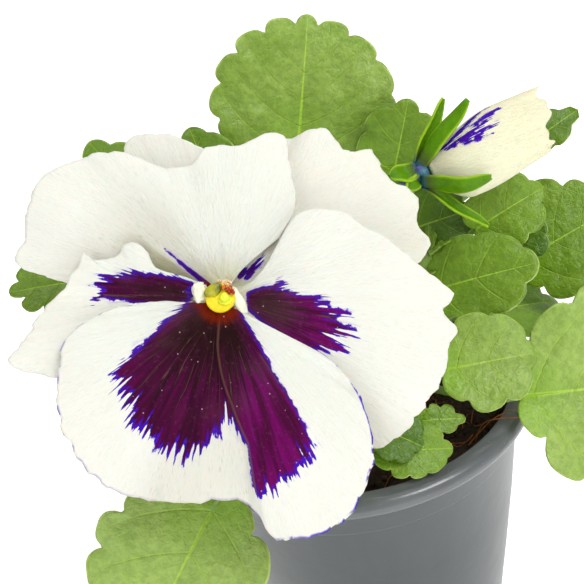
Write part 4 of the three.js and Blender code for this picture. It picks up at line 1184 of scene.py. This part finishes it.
def furled_sheet(bm, layers, start, turns, growth, length, shrink):
    """Adds one rolled petal of the furled bloom, which grows wider by growth from its start to its end. Only
    the outer one, which is not shrunk, has strokes and a finer mesh."""
    outer = shrink == 1

    def place(u, v):
        degrees = start + 360 * turns * u
        angle = math.radians(degrees)
        mouth = 1 + 0.05 * math.sin(angle) + 0.03 * math.sin(5 * angle) + 0.015 * math.sin(13 * angle)
        z = v * length * mouth
        above = BUD_NECK + BUD_FLARE * step_up(z, -6, 17)
        below = BUD_NECK + BUD_FLARE * step_up(z, -2.5, 7) - 2.5 * step_up(z - 14, -5, 14)
        radius = below + (above - below) * (0.5 + 0.5 * math.sin(angle)) + growth * (u - 0.5)
        radius = radius * shrink + 0.25 * math.sin(60 * u + 3 * v) * v ** 3 + 0.12 * math.sin(24 * u) * v
        point = Vector((BUD_FLAT * radius * math.cos(angle), radius * math.sin(angle), 0.5 + z))
        depth = -9
        if outer:
            depth = max(stroke_depth(stroke, degrees % 360, z) for stroke in BUD_STROKES)
        # Painted shade: the shade layer darkens the rolled petals towards the cup.
        values = (0.6 * angle, 16 + z, depth, 0.3, 9, 0, 0.25 * step_up(z, 6, 0), 9)
        return bud @ point, dict(zip(layers, values))

    shaped_grid(bm, 170 if outer else 100, 40 if outer else 20, place)


bud_skin = petal_skin("furled_cream", colour(236, 229, 190), colour(237, 233, 208), 0.1)
bud_mesh = bmesh.new()
layers = new_layers(bud_mesh, PETAL_LAYERS)
furled_sheet(bud_mesh, layers, BUD_START, BUD_TURNS, BUD_GROWTH, BUD_LENGTH, 1)
for start, length, shrink in INNER_ROLLS:
    furled_sheet(bud_mesh, layers, start, INNER_TURNS, INNER_GROWTH, length * BUD_LENGTH, shrink)
furled = finished("furled_bloom_petals", bud_mesh, bud_skin)
thicken(furled, PETAL_THICKNESS)
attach(furled, "root")
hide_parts("furled_petals")

# ---- The studio: floor, light and camera ----
# A plain white floor under broad soft lamps, and a camera that looks down on the bloom from the front.
FLOOR_RADIUS = 4
CAMERA_PLACE = Vector((-9, -220.7, 227.8)) * MM
CAMERA_ELEVATION = math.radians(28)
CAMERA_ROLL = math.radians(-12.5)
CAMERA_LENS = 64.85
SKY_STRENGTH = 0.42
LAMP_AIM = Vector((0, 0, 0.1))
# Each lamp: its name, where it hangs, how wide it is and its power.
LAMPS = [
    ("key", (0.5, -0.62, 0.95), 0.5, 9), ("fill", (-0.8, -0.7, 0.5), 0.6, 2.6),
    ("top", (0.1, 0.5, 1), 0.7, 3.5),
]

floor_mesh = bmesh.new()
bmesh.ops.create_circle(floor_mesh, cap_ends=True, segments=64, radius=FLOOR_RADIUS / MM)
white_floor = mottled_skin("white_floor", 0.9, colour(250, 250, 250), colour(254, 254, 254), (3, 3),
                           Emission_Color=(1, 1, 1, 1), Emission_Strength=0.5)
floor = finished("studio_floor", floor_mesh, white_floor)

scene = bpy.context.scene
scene.view_settings.view_transform = "Standard"
scene.world = bpy.data.worlds.new("studio")
scene.world.use_nodes = True
sky = scene.world.node_tree.nodes["Background"]
sky.inputs["Color"].default_value = (1, 1, 1, 1)
sky.inputs["Strength"].default_value = SKY_STRENGTH

for name, hangs, wide, power in LAMPS:
    light = bpy.data.lights.new(name, "AREA")
    light.size = wide
    light.energy = power
    stand = bpy.data.objects.new(name, light)
    stand.location = hangs
    stand.rotation_euler = (LAMP_AIM - Vector(hangs)).to_track_quat("-Z", "Y").to_euler()
    scene.collection.objects.link(stand)

sine, cosine = math.sin(CAMERA_ELEVATION), math.cos(CAMERA_ELEVATION)
back = Vector((0, -cosine, sine))
level = Vector((1, 0, 0))
upward = Vector((0, sine, cosine))
right = math.cos(CAMERA_ROLL) * level + math.sin(CAMERA_ROLL) * upward
up = math.cos(CAMERA_ROLL) * upward - math.sin(CAMERA_ROLL) * level
camera = bpy.data.objects.new("camera", bpy.data.cameras.new("camera"))
camera.data.lens = CAMERA_LENS
camera.data.clip_start = 0.01
camera.matrix_world = Matrix.Translation(CAMERA_PLACE) @ Matrix((right, up, back)).transposed().to_4x4()
scene.collection.objects.link(camera)
scene.camera = camera
